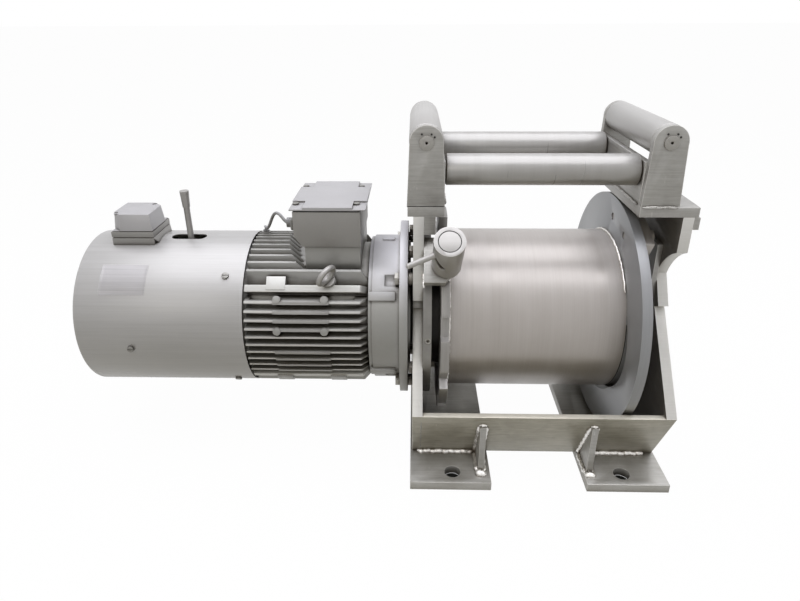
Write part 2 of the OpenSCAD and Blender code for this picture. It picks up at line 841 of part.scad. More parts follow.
module planet_gear(i) {
    a = planet_degs[i];
    color("gray") translate([0, gear_centre * cos(a), gear_centre * sin(a)]) difference() {
        yz(x_gears, x_gears + gear_w) on_axis() rotate(a + 180) toothed(planet_n);
        xcyl(x_gears - 1, x_gears + gear_w + 1, planet_pin_d / 2 + fit);
    }
}

module planet_carrier() {
    disc_reach = gear_centre + planet_pin_d / 2 + 14;
    boss_r = 40;
    color("gray") {
        xcyl(x_carrier, x_carrier + carrier_t, disc_reach);
        xcyl(x_carrier + carrier_t - 1, x_web + 1, boss_r);
        difference() {
            xcyl(x_web, x_web + web_t, hub_r - fit);
            for (i = [0:5]) axial(60 * i, x_web - 1, hub_r * 0.68) cylinder(h = web_t + 2, r = 18);
        }
        for (a = planet_degs) translate([0, gear_centre * cos(a), gear_centre * sin(a)])
            xcyl(x_gears - 1, x_carrier + 1, planet_pin_d / 2);
    }
}

// Drum
module drum_barrel() {
    color("silver") xring(x_barrel, x_flange, barrel_d / 2, hub_r);
}

module lock_disc() {
    shoulder = 3;
    floor_r = disc_r - notch_depth;
    color("silver") difference() {
        union() {
            xcyl(x_disc, x_barrel, disc_r);
            xcyl(x_disc, x_barrel + main_bearing_w, hub_r - fit);
        }
        xcyl(x_disc - 1, x_barrel + main_bearing_w + 1, bearing_r - shoulder);
        xcyl(x_barrel, x_barrel + main_bearing_w + 1, bearing_r);
        for (i = [0:notch_n - 1]) let(mid = lock_deg + i * 360 / notch_n)
            yz(x_disc - 1, x_barrel + 1) on_axis()
                arc(floor_r, disc_r + 5, mid - notch_deg / 2, mid + notch_deg / 2);
    }
}

module drum_flange() {
    pocket_deg = -15;
    color("silver") difference() {
        xcyl(x_flange, x_flange_out, flange_d / 2);
        xcyl(x_flange - 1, x_flange_out + 1, shaft_d / 2 + fit);
        difference() {
            yz(x_flange - 1, x_flange_out + 1) on_axis()
                translate(pocket_off * [-cos(pocket_deg), sin(pocket_deg)]) circle(pocket_r);
            xcyl(x_flange - 2, x_flange_out + 2, barrel_d / 2);
        }
        for (a = collar_screw_degs) axial(a, x_flange - 1, collar_r - 8)
            cylinder(h = flange_t + 2, r = collar_screw_d / 2 + fit);
        for (a = clamp_screw_degs) axial(a, x_flange - 1, (clamp_r0 + clamp_r1) / 2)
            cylinder(h = flange_t + 2, r = clamp_screw_d / 2 + fit);
    }
}

module rope_clamp() {
    rope_r = 6;
    color("silver") {
        difference() {
            yz(x_flange_out, x_flange_out + clamp_t) on_axis() arc(clamp_r0, clamp_r1, 57, 100);
            xring(x_flange_out - rope_r, x_flange_out + rope_r, clamp_r0 + 14, clamp_r0 + 14 - 2 * rope_r);
            for (a = clamp_screw_degs) axial(a, x_flange_out - 1, (clamp_r0 + clamp_r1) / 2)
                cylinder(h = clamp_t + 2, r = clamp_screw_d / 2 + fit);
        }
        for (a = clamp_screw_degs) axial(a, x_flange_out + clamp_t, (clamp_r0 + clamp_r1) / 2)
            socket_screw(clamp_screw_d, 10, clamp_t + flange_t - 2);
    }
}

module drum_shaft() {
    shaft_r = shaft_d / 2;
    color("gray") {
        xcyl(x_flange - 8, x_plate_r + 2, shaft_r);
        difference() {
            xcyl(x_flange_out, x_flange_out + collar_t, collar_r);
            for (a = collar_screw_degs) axial(a, x_flange_out - 1, collar_r - 8)
                cylinder(h = collar_t + 2, r = collar_screw_d / 2 + fit);
        }
        for (a = collar_screw_degs) axial(a, x_flange_out + collar_t, collar_r - 8)
            socket_screw(collar_screw_d, 6, collar_t + flange_t - 2);
    }
}

module shaft_bearing() {
    x_end = x_plate_r - 1;
    x_start = x_end - shaft_bearing_w;
    inner_r = shaft_d / 2 + fit;
    mid_r = (shaft_bearing_d / 2 + inner_r) / 2;
    color("silver") difference() {
        xring(x_start, x_end, shaft_bearing_d / 2, inner_r);
        for (end = [x_start - 1, x_end - 1]) xring(end, end + 2, mid_r + 4, mid_r - 4);
    }
}

module bearing_cover() {
    cover_r = cover_screw_r + 7;
    color("silver") {
        difference() {
            xcyl(x_plate_r, x_plate_r + 8, cover_r);
            xcyl(x_plate_r - 1, x_plate_r + 5, shaft_d / 2 + 4);
            for (a = motor_bolt_degs) axial(a, x_plate_r - 1, cover_screw_r) cylinder(h = 10, r = 4);
        }
        for (a = motor_bolt_degs) axial(a, x_plate_r + 8, cover_screw_r) socket_screw(8, 5, 24);
    }
}

// Motor terminal box
module terminal_box() {
    corner = 12;
    corner_h = 18;
    wall = 4;
    x_end = x_box + box_l;
    color("gainsboro") difference() {
        xz(-box_w / 2, box_w / 2) polygon([
            [x_box + corner, pedestal_top], [x_end, pedestal_top], [x_end, lid_z], [x_box, lid_z],
            [x_box, pedestal_top + corner_h]
        ]);
        xz(-box_w / 2 + wall, box_w / 2 - wall) polygon([
            [x_box + corner + wall, pedestal_top + wall], [x_end - wall, pedestal_top + wall],
            [x_end - wall, lid_z + 1], [x_box + wall, lid_z + 1], [x_box + wall, pedestal_top + corner_h]
        ]);
        translate([x_box - 1, gland_y, gland_z]) rotate([0, 90, 0])
            cylinder(h = wall + 2, r = gland_d / 4 + fit);
    }
}

module terminal_lid() {
    seam = 2;
    rim = 2.5;
    lid_w = box_w + 2;
    x_lid = x_box - 5;
    color("gainsboro") difference() {
        union() {
            translate([x_box + rim, -box_w / 2 + rim, lid_z])
                cube([box_l - 2 * rim, box_w - 2 * rim, seam + eps]);
            translate([x_lid, -lid_w / 2, lid_z + seam]) cube([lid_l, lid_w, lid_t]);
        }
        for (x = lid_screw_x, y = lid_screw_y) translate([x, y, lid_z + seam + lid_t - 3])
            cylinder(h = 4, r = 7);
    }
}

module small_screws() {
    lid_seat = lid_z + 2 + lid_t - 3;
    cowl_screw_head = 3.5;
    color("silver") {
        for (x = lid_screw_x, y = lid_screw_y) translate([x, y, lid_seat]) pan_screw(5, 2.5);
        for (a = cowl_screw_degs) radial(a, x_cowl_screw, cowl_r) pan_screw(5.5, cowl_screw_head);
        for (a = fan_screw_degs) radial(a, x_fan - 10, cowl_r) pan_screw(5.5, cowl_screw_head);
    }
}

module pan_screw(r, h) {
    difference() {
        cylinder(h = h, r = r);
        translate([-r, -0.6, h - 1.2]) cube([2 * r, 1.2, 2]);
    }
}

module cable_gland() {
    x_tip = cable_route[0][0];
    end = cable_route[len(cable_route) - 1];
    nut_l = 5;
    boss_top = axis_h + fin_r + 1;
    color("dimgray") {
        translate([x_box, gland_y, gland_z]) rotate([0, -90, 0])
            cylinder(h = nut_l, r = gland_d * 0.6, $fn = 6);
        xcyl(x_tip, x_box - nut_l + eps, gland_d / 2, gland_z, gland_y);
        xcyl(x_box - 1, x_box + 5, gland_d / 4, gland_z, gland_y);
        translate([end[0], end[1], boss_top]) cylinder(h = end[2] - boss_top, r = 5);
    }
}

// Tube along a route of points, with rings turned along the route
function unit(v) = v / norm(v);

function route_dir(p, i) = unit(p[min(i + 1, len(p) - 1)] - p[max(i - 1, 0)]);

function ring_points(c, dir, r) =
    let(side = unit(cross(dir, [0.3, 0.9, 0.3])), up = cross(side, dir))
    [for (k = [0:cable_sides - 1]) let(a = 360 * k / cable_sides) c + r * (cos(a) * side + sin(a) * up)];

module tube(p, r) {
    n = cable_sides;
    last = len(p) - 1;
    dirs = [for (i = [0:last]) i == 0 ? [-1, 0, 0] : i == last ? [0, 0, -1] : route_dir(p, i)];
    points = [for (i = [0:last]) each ring_points(p[i], dirs[i], r)];
    walls = [for (i = [0:last - 1], k = [0:n - 1]) let(a = i * n + k, b = i * n + (k + 1) % n)
        each [[a, b, b + n], [a, b + n, a + n]]];
    ends = [[for (k = [n - 1:-1:0]) k], [for (k = [0:n - 1]) last * n + k]];
    polyhedron(points, concat(walls, ends));
}

module brake_cable() {
    color("gray") tube(cable_route, cable_d / 2);
}

module eyebolt() {
    wire_r = 4.5;
    collar_h = 4;
    turn_deg = 50;
    color("silver") radial(eye_deg, eye_x, fin_r + 2) {
        difference() {
            cylinder(h = collar_h, r = 11);
            translate([0, 0, -1]) cylinder(h = 1, r = 4);
        }
        translate([0, 0, eye_d / 2 + collar_h - 1.5]) rotate([90, 0, turn_deg])
            rotate_extrude() translate([eye_d / 2 - wire_r, 0]) circle(wire_r);
    }
}

// Cowl and forced fan
module fan_cowl() {
    grille_rings = [26, 44, 62, 80, 98];
    sector_n = 6;
    color("silver") difference() {
        xcyl(x_cowl_end, x_cowl, cowl_r);
        xcyl(x_cowl_end + cowl_t, x_cowl + 1, cowl_r - cowl_t);
        for (r = grille_rings, i = [0:sector_n - 1])
            yz(x_cowl_end - 1, x_cowl_end + cowl_t + 1) on_axis()
                arc(r, r + 12, i * 60 + 4 + 90 / r, (i + 1) * 60 - 4 - 90 / r);
        translate([x_slot, y_slot, axis_h]) for (side = [-1, 1])
            translate([side * (slot_l - slot_w) / 2, 0, 0]) cylinder(h = cowl_r + 5, r = slot_w / 2);
        translate([x_slot - (slot_l - slot_w) / 2, y_slot - slot_w / 2, axis_h])
            cube([slot_l - slot_w, slot_w, cowl_r + 5]);
    }
}

module fan_box() {
    foot_h = 7;
    groove = 2;
    inset = 1.5;
    band_h = 9;
    z_foot = axis_h + cowl_r + foot_h;
    x_end = x_fan_box + fan_box_l;
    w = fan_box_w / 2;
    color("silver") difference() {
        union() {
            translate([x_fan_box, -w, axis_h + cowl_r - 8]) cube([fan_box_l, fan_box_w, foot_h + 8]);
            translate([x_fan_box + inset, -w + inset, z_foot - eps])
                cube([fan_box_l - 2 * inset, fan_box_w - 2 * inset, groove + 2 * eps]);
            translate([x_fan_box, -w, z_foot + groove]) cube([fan_box_l, fan_box_w, band_h]);
            hull() {
                translate([x_end - 1, -w, z_foot]) cube([1, fan_box_w, 1]);
                translate([x_end - 1, -w + 8, axis_h + cowl_r - 3]) cube([6, fan_box_w - 16, 1]);
            }
        }
        xcyl(x_fan_box - 1, x_end + 10, cowl_r + fit);
    }
}

module fan_box_lid() {
    chamfer = 16;
    seam = 1.5;
    taper = 3;
    z0 = axis_h + cowl_r + 18;
    h = 29;
    w = fan_box_w / 2;
    x_end = x_fan_box + fan_box_l;
    top = h - 1;
    outline = [
        [x_fan_box, w], [x_fan_box, -w + chamfer], [x_fan_box + chamfer, -w], [x_end, -w],
        [x_end, w - chamfer], [x_end - chamfer, w]
    ];
    mid = [(x_fan_box + x_end) / 2, 0];
    shrink = 1 - 2 * taper / fan_box_l;
    color("silver") {
        translate([x_fan_box + seam, -w + seam, z0]) cube([fan_box_l - 2 * seam, fan_box_w - 2 * seam, seam]);
        difference() {
            hull() {
                translate([0, 0, z0 + seam - eps]) linear_extrude(1) polygon(outline);
                translate([0, 0, z0 + top]) linear_extrude(1)
                    polygon([for (p = outline) mid + shrink * (p - mid)]);
            }
            for (p = fan_lid_screws) translate([p[0], p[1], z0 + h - 3]) cylinder(h = 4, r = 4);
        }
        for (p = fan_lid_screws) translate([p[0], p[1], z0 + h - 3 - eps]) pan_screw(3, 2);
    }
}

module label_plate() {
    plate_h = 0.8;
    label_x = x_cowl_end + 39;
    label_l = 74;
    color("whitesmoke") yz(label_x, label_x + label_l) on_axis()
        arc(cowl_r, cowl_r + plate_h, 32.5, 54.8);
}

module fan_motor() {
    arm_t = 12;
    arm_w = 16;
    room_r = cowl_r - cowl_t - fit;
    arm_end = sqrt(room_r * room_r - arm_w * arm_w / 4);
    x_arm = x_fan - 20;
    body_l = 70;
    x_body = x_fan - 4 - body_l;
    fan_shaft_r = 7;
    color("dimgray") difference() {
        union() {
            xcyl(x_body, x_body + body_l, fan_motor_d / 2);
            for (a = fan_arm_degs) radial(a, x_arm, fan_motor_d / 2 - 6)
                translate([0, -arm_w / 2, 0]) cube([arm_t, arm_w, arm_end - fan_motor_d / 2 + 6]);
        }
        xcyl(x_fan - 24, x_fan, fan_shaft_r + fit);
    }
}

module fan_impeller() {
    hub_fan_r = 30;
    fan_shaft_r = 7;
    blade_l = 30;
    blade_t = 3;
    pitch_deg = 40;
    x_mid = x_fan + fan_w / 2;
    color("black") {
        xcyl(x_fan, x_fan + fan_w, hub_fan_r);
        xcyl(x_fan - 22, x_fan + 1, fan_shaft_r);
        for (i = [0:blade_n - 1]) radial(i * 360 / blade_n, x_mid, hub_fan_r - 3) rotate([0, 0, pitch_deg])
            translate([-blade_l / 2, -blade_t / 2, 0]) cube([blade_l, blade_t, fan_d / 2 - hub_fan_r + 3]);
    }
}

// Spring-applied brake
module brake_magnet() {
    pin_span = magnet_d / 2 + 11;
    magnet_r = magnet_d / 2;
    color("gray") difference() {
        union() {
            xcyl(x_magnet - magnet_l, x_magnet, magnet_r);
            xcyl(x_friction - friction_t, x_friction, magnet_r);
            for (a = sleeve_degs) axial(a, x_magnet - 1, sleeve_circle)
                cylinder(h = x_friction - friction_t - x_magnet + 2, r = sleeve_rad);
            ycyl(-pin_span, pin_span, lever_pin_r, x_lever, axis_h);
        }
        xcyl(x_magnet - magnet_l - 1, x_magnet + 1, motor_shaft_d / 2 + 6);
        xcyl(x_friction - friction_t - 1, x_friction + 1, motor_shaft_d / 2 + 4);
    }
}

module brake_disc() {
    core_r = motor_shaft_d / 2 - 5 + fit;
    color("dimgray") xring(x_brake_disc - brake_disc_t, x_brake_disc, sleeve_circle - sleeve_rad - 3, core_r);
}

module brake_armature() {
    color("gray") difference() {
        xring(x_armature - armature_t, x_armature, magnet_d / 2 - 1, motor_shaft_d / 2 + 6);
        for (a = sleeve_degs) axial(a, x_armature - armature_t - 1, sleeve_circle)
            cylinder(h = armature_t + 2, r = sleeve_rad + run);
    }
}

module brake_lever() {
    arm_w = 12;
    arm_t = 6;
    arm_y = magnet_d / 2 + 3;
    bar_z = axis_h + magnet_d / 2 + 8;
    rod_r = lever_d / 2;
    grip_l = 28;
    color("dimgray") {
        both_sides() difference() {
            union() {
                ycyl(arm_y, arm_y + arm_t, 10, x_lever, axis_h);
                translate([x_lever - arm_w / 2, arm_y, axis_h]) cube([arm_w, arm_t, magnet_d / 2 + 14]);
            }
            ycyl(arm_y - 1, arm_y + arm_t + 1, lever_pin_r + run, x_lever, axis_h);
        }
        translate([x_lever - arm_w / 2, -arm_y - eps, bar_z]) cube([arm_w, 2 * arm_y + 2 * eps, 6]);
        translate([x_lever, y_slot, bar_z + 3]) cylinder(h = axis_h + lever_h - grip_l - bar_z, r = rod_r);
        translate([x_lever, y_slot, axis_h + lever_h - grip_l])
            cylinder(h = grip_l, r1 = rod_r + 1, r2 = rod_r + 2.5);
    }
}

// Lock
module lock_block() {
    x0 = x_in_l - x_lock;
    x1 = x_barrel + 12.5 - x_lock;
    color("silver") radial(lock_deg, x_lock, disc_r + 4) difference() {
        linear_extrude(sleeve_r0 - disc_r - 4)
            polygon([[x0, -28], [-2.5, -28], [x1, -3], [x1, 44], [x0, 44]]);
        translate([0, 0, -1]) cylinder(h = 20, r = lock_pin_d / 2 + slide_fit);
    }
}

module lock_sleeve() {
    slot_steps = 12;
    color("silver") radial(lock_deg, x_lock) difference() {
        translate([0, 0, sleeve_r0]) cylinder(h = sleeve_l, r = sleeve_d / 2);
        translate([0, 0, sleeve_r0 - 1]) cylinder(h = sleeve_l + 2, r = lock_pin_d / 2 + slide_fit);
        for (i = [0:slot_steps])
            rotate([0, 0, handle_deg + lock_turn * i / slot_steps])
                translate([0, 0, handle_r - lock_travel * i / slot_steps]) rotate([0, 90, 0])
                    cylinder(h = sleeve_d, r = handle_d / 2 + slot_play);
    }
}

module lock_pin() {
    tip = 3;
    pin_r = lock_pin_d / 2;
    color("silver") radial(lock_deg, x_lock, pin_r0) {
        cylinder(h = tip + eps, r1 = pin_r - tip / 2, r2 = pin_r);
        translate([0, 0, tip]) cylinder(h = head_split - pin_r0 - tip - run, r = pin_r);
    }
}

module lock_handle() {
    head_end = sleeve_r0 + sleeve_l;
    color("silver") radial(lock_deg, x_lock) {
        translate([0, 0, head_split]) cylinder(h = head_end - head_split, r = lock_pin_d / 2);
        rotate([0, 0, handle_deg]) translate([0, 0, handle_r]) rotate([0, 90, 0]) {
            cylinder(h = handle_l - 2, r = handle_d / 2);
            translate([0, 0, handle_l - 2 - eps]) cylinder(h = 2, r1 = handle_d / 2, r2 = handle_d / 2 - 1.5);
        }
    }
}

// Fairlead
module base_outline(x0, x1) {
    translate([x0, -head_w / 2, plate_top]) cube([x1 - x0, head_w, base_t]);
}

module fairlead_base_left() {
    block_l = 17;
    block_h = 28;
    color("silver") {
        base_outline(x_plate_l - 8.5, x_side_l + 28);
        translate([x_in_l, -head_w / 2, plate_top - block_h]) cube([block_l, 40, block_h + eps]);
    }
}

module fairlead_base_right() {
    lip_t = 9;
    lip_h = 19;
    color("silver") {
        base_outline(x_side_r - 28, x_plate_r + 6);
        translate([x_plate_r, -head_w / 2, plate_top - lip_h]) cube([lip_t, head_w, lip_h + eps]);
    }
}

module bracket(x, side) {
    w = bracket_w / 2;
    top_r = bracket_top_w / 2;
    blend_in = 0.25;
    inboard_x = side > 0 ? x - w : x + w - inboard_t;
    color("silver") difference() {
        union() {
            both_sides() xz(head_w / 2 - bracket_t, head_w / 2) translate([x, base_top]) {
                polygon([[-w, 0], [w, 0], [top_r - blend_in, side_axle_h], [blend_in - top_r, side_axle_h]]);
                translate([0, side_axle_h]) circle(top_r);
            }
            translate([inboard_x, -head_w / 2 + bracket_t - eps, base_top])
                cube([inboard_t, head_w - 2 * bracket_t + 2 * eps, inboard_h]);
        }
        ycyl(-head_w, head_w, axle_d / 2 + fit, x, z_side);
        both_sides() xcyl(inboard_x - 1, inboard_x + inboard_t + 1, axle_d / 2 + fit, z_long, y_long);
    }
}

module bracket_left() {
    bracket(x_side_l, -1);
}

module bracket_right() {
    bracket(x_side_r, 1);
}

module roller_axles() {
    proud = 2;
    stake_d = 3;
    stake_h = 0.6;
    stake_r = axle_d / 2 + 3.5;
    stake_degs = [35, 60, 120];
    reach = side_axle_span / 2 - bracket_w / 2 + inboard_t + proud;
    color("silver") {
        for (x = [x_side_l, x_side_r]) difference() {
            ycyl(-head_w / 2 - proud, head_w / 2 + proud, axle_d / 2, x, z_side);
            both_sides() ycyl(head_w / 2 - 10, head_w / 2 + proud + 1, 2, x, z_side);
        }
        both_sides() xcyl(x_rope - reach, x_rope + reach, axle_d / 2, z_long, y_long);
        both_sides() for (x = [x_side_l, x_side_r]) for (a = stake_degs)
            ycyl(head_w / 2, head_w / 2 + stake_h, stake_d / 2,
                x + stake_r * cos(a), z_side + stake_r * sin(a));
    }
}

module roller(l, r) {
    edge = 2;
    difference() {
        union() {
            translate([0, 0, -l / 2]) cylinder(h = edge + eps, r1 = r - edge, r2 = r);
            translate([0, 0, -l / 2 + edge]) cylinder(h = l - 2 * edge, r = r);
            translate([0, 0, l / 2 - edge - eps]) cylinder(h = edge + eps, r1 = r, r2 = r - edge);
        }
        cylinder(h = l + 2, r = axle_d / 2 + fit, center = true);
    }
}

module long_roller(side) {
    l = side_axle_span - bracket_w - 2;
    color("silver") translate([x_rope, side * y_long, z_long]) rotate([0, 90, 0])
        roller(l, long_roller_d / 2);
}

module side_roller(x) {
    l = head_w - 2 * bracket_t - 2;
    color("silver") translate([x, 0, z_side]) rotate([90, 0, 0]) roller(l, side_roller_d / 2);
}

module front_roller() {
    long_roller(-1);
}

module rear_roller() {
    long_roller(1);
}

module left_roller() {
    side_roller(x_side_l);
}

module right_roller() {
    side_roller(x_side_r);
}

module planet_gear_1() {
    planet_gear(0);
}

module planet_gear_2() {
    planet_gear(1);
}

module planet_gear_3() {
    planet_gear(2);
}

feet();
motor_side_plate();
bearing_side_plate();
rails();
gussets();
bearing_doubler();
gearbox_housing();
gearbox_cover();
ring_gear();
flange_bolts();
gearbox_bolts();
oil_plug();
main_bearing();
drive_end_shield();
motor_housing();
stator();
rear_end_shield();
motor_bearings();
terminal_box();
terminal_lid();
small_screws();
cable_gland();
brake_cable();
eyebolt();
fan_cowl();
fan_box();
fan_box_lid();
label_plate();
brake_magnet();
fan_motor();
lock_block();
lock_sleeve();
fairlead_base_left();
fairlead_base_right();
bracket_left();
bracket_right();
roller_axles();
shaft_bearing();
bearing_cover();
drum_barrel();
lock_disc();
drum_flange();
rope_clamp();
drum_shaft();
planet_carrier();
planet_gear_1();
planet_gear_2();
planet_gear_3();
motor_rotor();
sun_gear();
brake_disc();
brake_armature();
brake_lever();
fan_impeller();
front_roller();
rear_roller();
left_roller();
right_roller();
lock_pin();
lock_handle();
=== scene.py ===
"""Electric winch with a grooveless drum, a roller fairlead and a brake motor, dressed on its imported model."""
import json
import math

import bmesh
import bpy
from mathutils import Matrix, Vector


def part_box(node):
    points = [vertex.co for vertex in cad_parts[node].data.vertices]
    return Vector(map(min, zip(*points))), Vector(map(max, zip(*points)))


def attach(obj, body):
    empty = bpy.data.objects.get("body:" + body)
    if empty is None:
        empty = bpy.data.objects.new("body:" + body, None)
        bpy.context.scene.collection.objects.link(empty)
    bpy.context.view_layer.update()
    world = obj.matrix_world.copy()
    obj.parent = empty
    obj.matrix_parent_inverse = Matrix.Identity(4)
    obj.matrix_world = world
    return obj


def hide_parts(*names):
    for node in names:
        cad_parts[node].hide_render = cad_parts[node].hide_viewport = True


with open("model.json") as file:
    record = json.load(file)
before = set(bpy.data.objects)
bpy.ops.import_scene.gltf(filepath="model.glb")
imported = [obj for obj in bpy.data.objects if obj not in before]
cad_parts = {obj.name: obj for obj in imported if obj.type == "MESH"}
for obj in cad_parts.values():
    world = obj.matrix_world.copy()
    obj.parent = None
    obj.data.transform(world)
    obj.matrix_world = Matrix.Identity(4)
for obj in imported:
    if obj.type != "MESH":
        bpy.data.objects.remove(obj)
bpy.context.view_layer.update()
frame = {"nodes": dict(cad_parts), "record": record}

bl_info = {
    "name": "Electric winch",
    "version": (1, 0, 0),
    "blender": (4, 5, 0),
    "location": "3D View > Sidebar > Winch",
    "description": "Finishes and fine pieces for an electric winch",
    "category": "Object",
}

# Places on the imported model, in metres
AXIS_Z = 0.225
GEARBOX_TUBE_X = -0.1735
MOTOR_FRONT_X = -0.274
FIN_TIPS = (0.127, 0.1302, 0.1318)
PEDESTAL_Y = 0.085
SHIELD_CROWN_Z = (AXIS_Z + 0.06, AXIS_Z + 0.14)
LOCK_GAP = (0.0148, 0.0163)
STAKE_RING = (0.0112, 0.017)
BRACKET_FACE_Y = 0.117
BRACKET_GAP_SHADOW_Z = (0.4446, 0.4462)
RAIL_TOP_Z = 0.127
BOLT_HOLE = (0.137, 0.185, 0.0135)

# Shades that several finishes share
PLAIN = (1.0, 1.0, 1.0)
# Painted shade for the hollows of every finish
HOLLOW_PAINTED_SHADE = [(0.2, (0.36, 0.32, 0.27)), (0.75, PLAIN)]
# Painted shade for the close corners of silver paint
PAINTED_CORNER_SHADE = (0.22, 0.2, 0.17)
# Painted shadow of a gap
GAP_PAINTED_SHADOW = (0.01, 0.009, 0.008)
# Dark marks, and the painted shadow inside gaps
MARK_AND_GAP_SHADOW = (0.02, 0.018, 0.016)
# Painted highlight and sky reflection on the end shield's top
CROWN_LIGHT_COLOUR = (0.66, 0.655, 0.70)


# Shader maths
class Wire:
    """A shader socket that takes Python's operators."""

    def __init__(self, tree, socket):
        self.tree = tree
        self.socket = socket

    def maths(self, operation, left, right=None):
        step = self.tree.nodes.new("ShaderNodeMath")
        step.operation = operation
        for slot, value in enumerate((left, right)):
            if isinstance(value, Wire):
                self.tree.links.new(value.socket, step.inputs[slot])
            elif value is not None:
                step.inputs[slot].default_value = value
        return Wire(self.tree, step.outputs[0])

    def __add__(self, other):
        return self.maths("ADD", self, other)

    __radd__ = __add__

    def __sub__(self, other):
        return self.maths("SUBTRACT", self, other)

    def __rsub__(self, other):
        return self.maths("SUBTRACT", other, self)

    def __mul__(self, other):
        return self.maths("MULTIPLY", self, other)

    __rmul__ = __mul__

    def __gt__(self, other):
        return self.maths("GREATER_THAN", self, other)

    def __lt__(self, other):
        return self.maths("LESS_THAN", self, other)

    def __pow__(self, other):
        return self.maths("POWER", self, other)

    def size(self):
        return self.maths("ABSOLUTE", self)

    def most(self, other):
        return self.maths("MAXIMUM", self, other)

    def within(self, low, high):
        """One between two values, and nought outside them."""
        return (self > low) * (self < high)


def distance(first, second):
    """The length of the two legs of a right angle."""
    return (first * first + second * second) ** 0.5


def lighter(shade, times, more=0.0):
    """A shade multiplied and raised, held below white."""
    return tuple(min(1, c * times + more) for c in shade)


class Finish:
    """One procedural material, with the few shader steps that its finish needs."""

    def __init__(self, name):
        self.material = bpy.data.materials.new(name)
        self.material.use_nodes = True
        self.tree = self.material.node_tree
        self.tree.nodes.clear()
        self.place = self.node("TexCoord", output="Object")

    def node(self, kind, settings=None, inputs=None, output=0):
        """Adds a node, its settings first, then the values or wires of its sockets."""
        step = self.tree.nodes.new("ShaderNode" + kind)
        for name, value in (settings or {}).items():
            if name == "stops":
                ramp = step.color_ramp
                while len(ramp.elements) < len(value):
                    ramp.elements.new(0.5)
                for element, (position, colour) in zip(ramp.elements, value):
                    element.position = position
                    element.color = (*colour, 1)
            else:
                setattr(step, name, value)
        for socket, value in (inputs or {}).items():
            if isinstance(value, Wire):
                self.tree.links.new(value.socket, step.inputs[socket])
            elif isinstance(value, tuple) and len(value) == 3 and step.inputs[socket].type == "RGBA":
                step.inputs[socket].default_value = (*value, 1)
            else:
                step.inputs[socket].default_value = value
        return Wire(self.tree, step.outputs[output])

    def axes(self, vector=None):
        """The three coordinates of a point, as wires."""
        step = self.tree.nodes.new("ShaderNodeSeparateXYZ")
        self.tree.links.new((vector or self.place).socket, step.inputs[0])
        return [Wire(self.tree, out) for out in step.outputs]

    def stretched(self, scale):
        return self.node("VectorMath", {"operation": "MULTIPLY"}, {0: self.place, 1: scale})

    def noise(self, scale, vector=None, detail=3.0, roughness=0.55, distortion=0.0):
        return self.node("TexNoise", {}, {"Vector": vector or self.place, "Scale": scale, "Detail": detail,
                                          "Roughness": roughness, "Distortion": distortion})

    def spots(self, scale):
        return self.node("TexVoronoi", {"feature": "F1"}, {"Vector": self.place, "Scale": scale})

    def ranged(self, value, low, high, to_low=0.0, to_high=1.0):
        """Carries a value from one range to another, held inside it."""
        return self.node("MapRange", {"clamp": True}, {"Value": value, "From Min": low, "From Max": high,
                                                       "To Min": to_low, "To Max": to_high})

    def ramp(self, value, stops):
        return self.node("ValToRGB", {"stops": stops}, {"Fac": value})

    def blend(self, factor, first, second):
        return self.node("Mix", {"data_type": "RGBA"}, {0: factor, 6: first, 7: second}, 2)

    def multiplied(self, first, second):
        settings = {"data_type": "RGBA", "blend_type": "MULTIPLY"}
        return self.node("Mix", settings, {0: 1.0, 6: first, 7: second}, 2)

    def edges(self, width):
        """How far a point stands on a convex or concave edge, from 0 to 1."""
        rounded = self.node("Bevel", {"samples": 6}, {"Radius": width})
        plain = self.node("NewGeometry", output="Normal")
        dot = self.node("VectorMath", {"operation": "DOT_PRODUCT"}, {0: rounded, 1: plain}, "Value")
        return self.ranged(dot, 0.995, 0.85)

    def edge_wear_and_highlight(self, colour, width, share, shade):
        """Lays a brighter colour along the edges, partly wear and partly painted highlight."""
        return self.blend(self.edges(width) * share, colour, shade)

    def paint_hollow_shade(self, colour, reach, stops):
        """Paints shade into the corners that are closed in within a distance."""
        open_share = self.node("AmbientOcclusion", {"samples": 4}, {"Distance": reach}, "AO")
        return self.multiplied(colour, self.ramp(open_share, stops))

    def gloss(self, pattern, rough, less, more):
        """Roughness that follows a pattern a little below and above its middle value."""
        return self.ranged(pattern, 0.3, 0.7, rough - less, rough + more)

    def close(self, colour, roughness, metallic, relief, depth, strength):
        """Joins the finish to its shader, with painted shade in its hollows, and hands back the material."""
        # painted shade in the hollows
        colour = self.paint_hollow_shade(colour, 0.02, HOLLOW_PAINTED_SHADE)
        shader = self.tree.nodes.new("ShaderNodeBsdfPrincipled")
        output = self.tree.nodes.new("ShaderNodeOutputMaterial")
        self.tree.links.new(shader.outputs[0], output.inputs["Surface"])
        bump = self.node("Bump", {}, {"Height": relief, "Distance": depth, "Strength": strength})
        for socket, value in (("Base Color", colour), ("Roughness", roughness), ("Metallic", metallic),
                              ("Normal", bump)):
            if isinstance(value, Wire):
                self.tree.links.new(value.socket, shader.inputs[socket])
            else:
                shader.inputs[socket].default_value = value
        return self.material


# Finishes
UPRIGHT_GRAIN = (30.0, 30.0, 500.0)
FOOT_GRAIN = (14.0, 300.0, 300.0)
RAIL_GRAIN = (30.0, 300.0, 300.0)


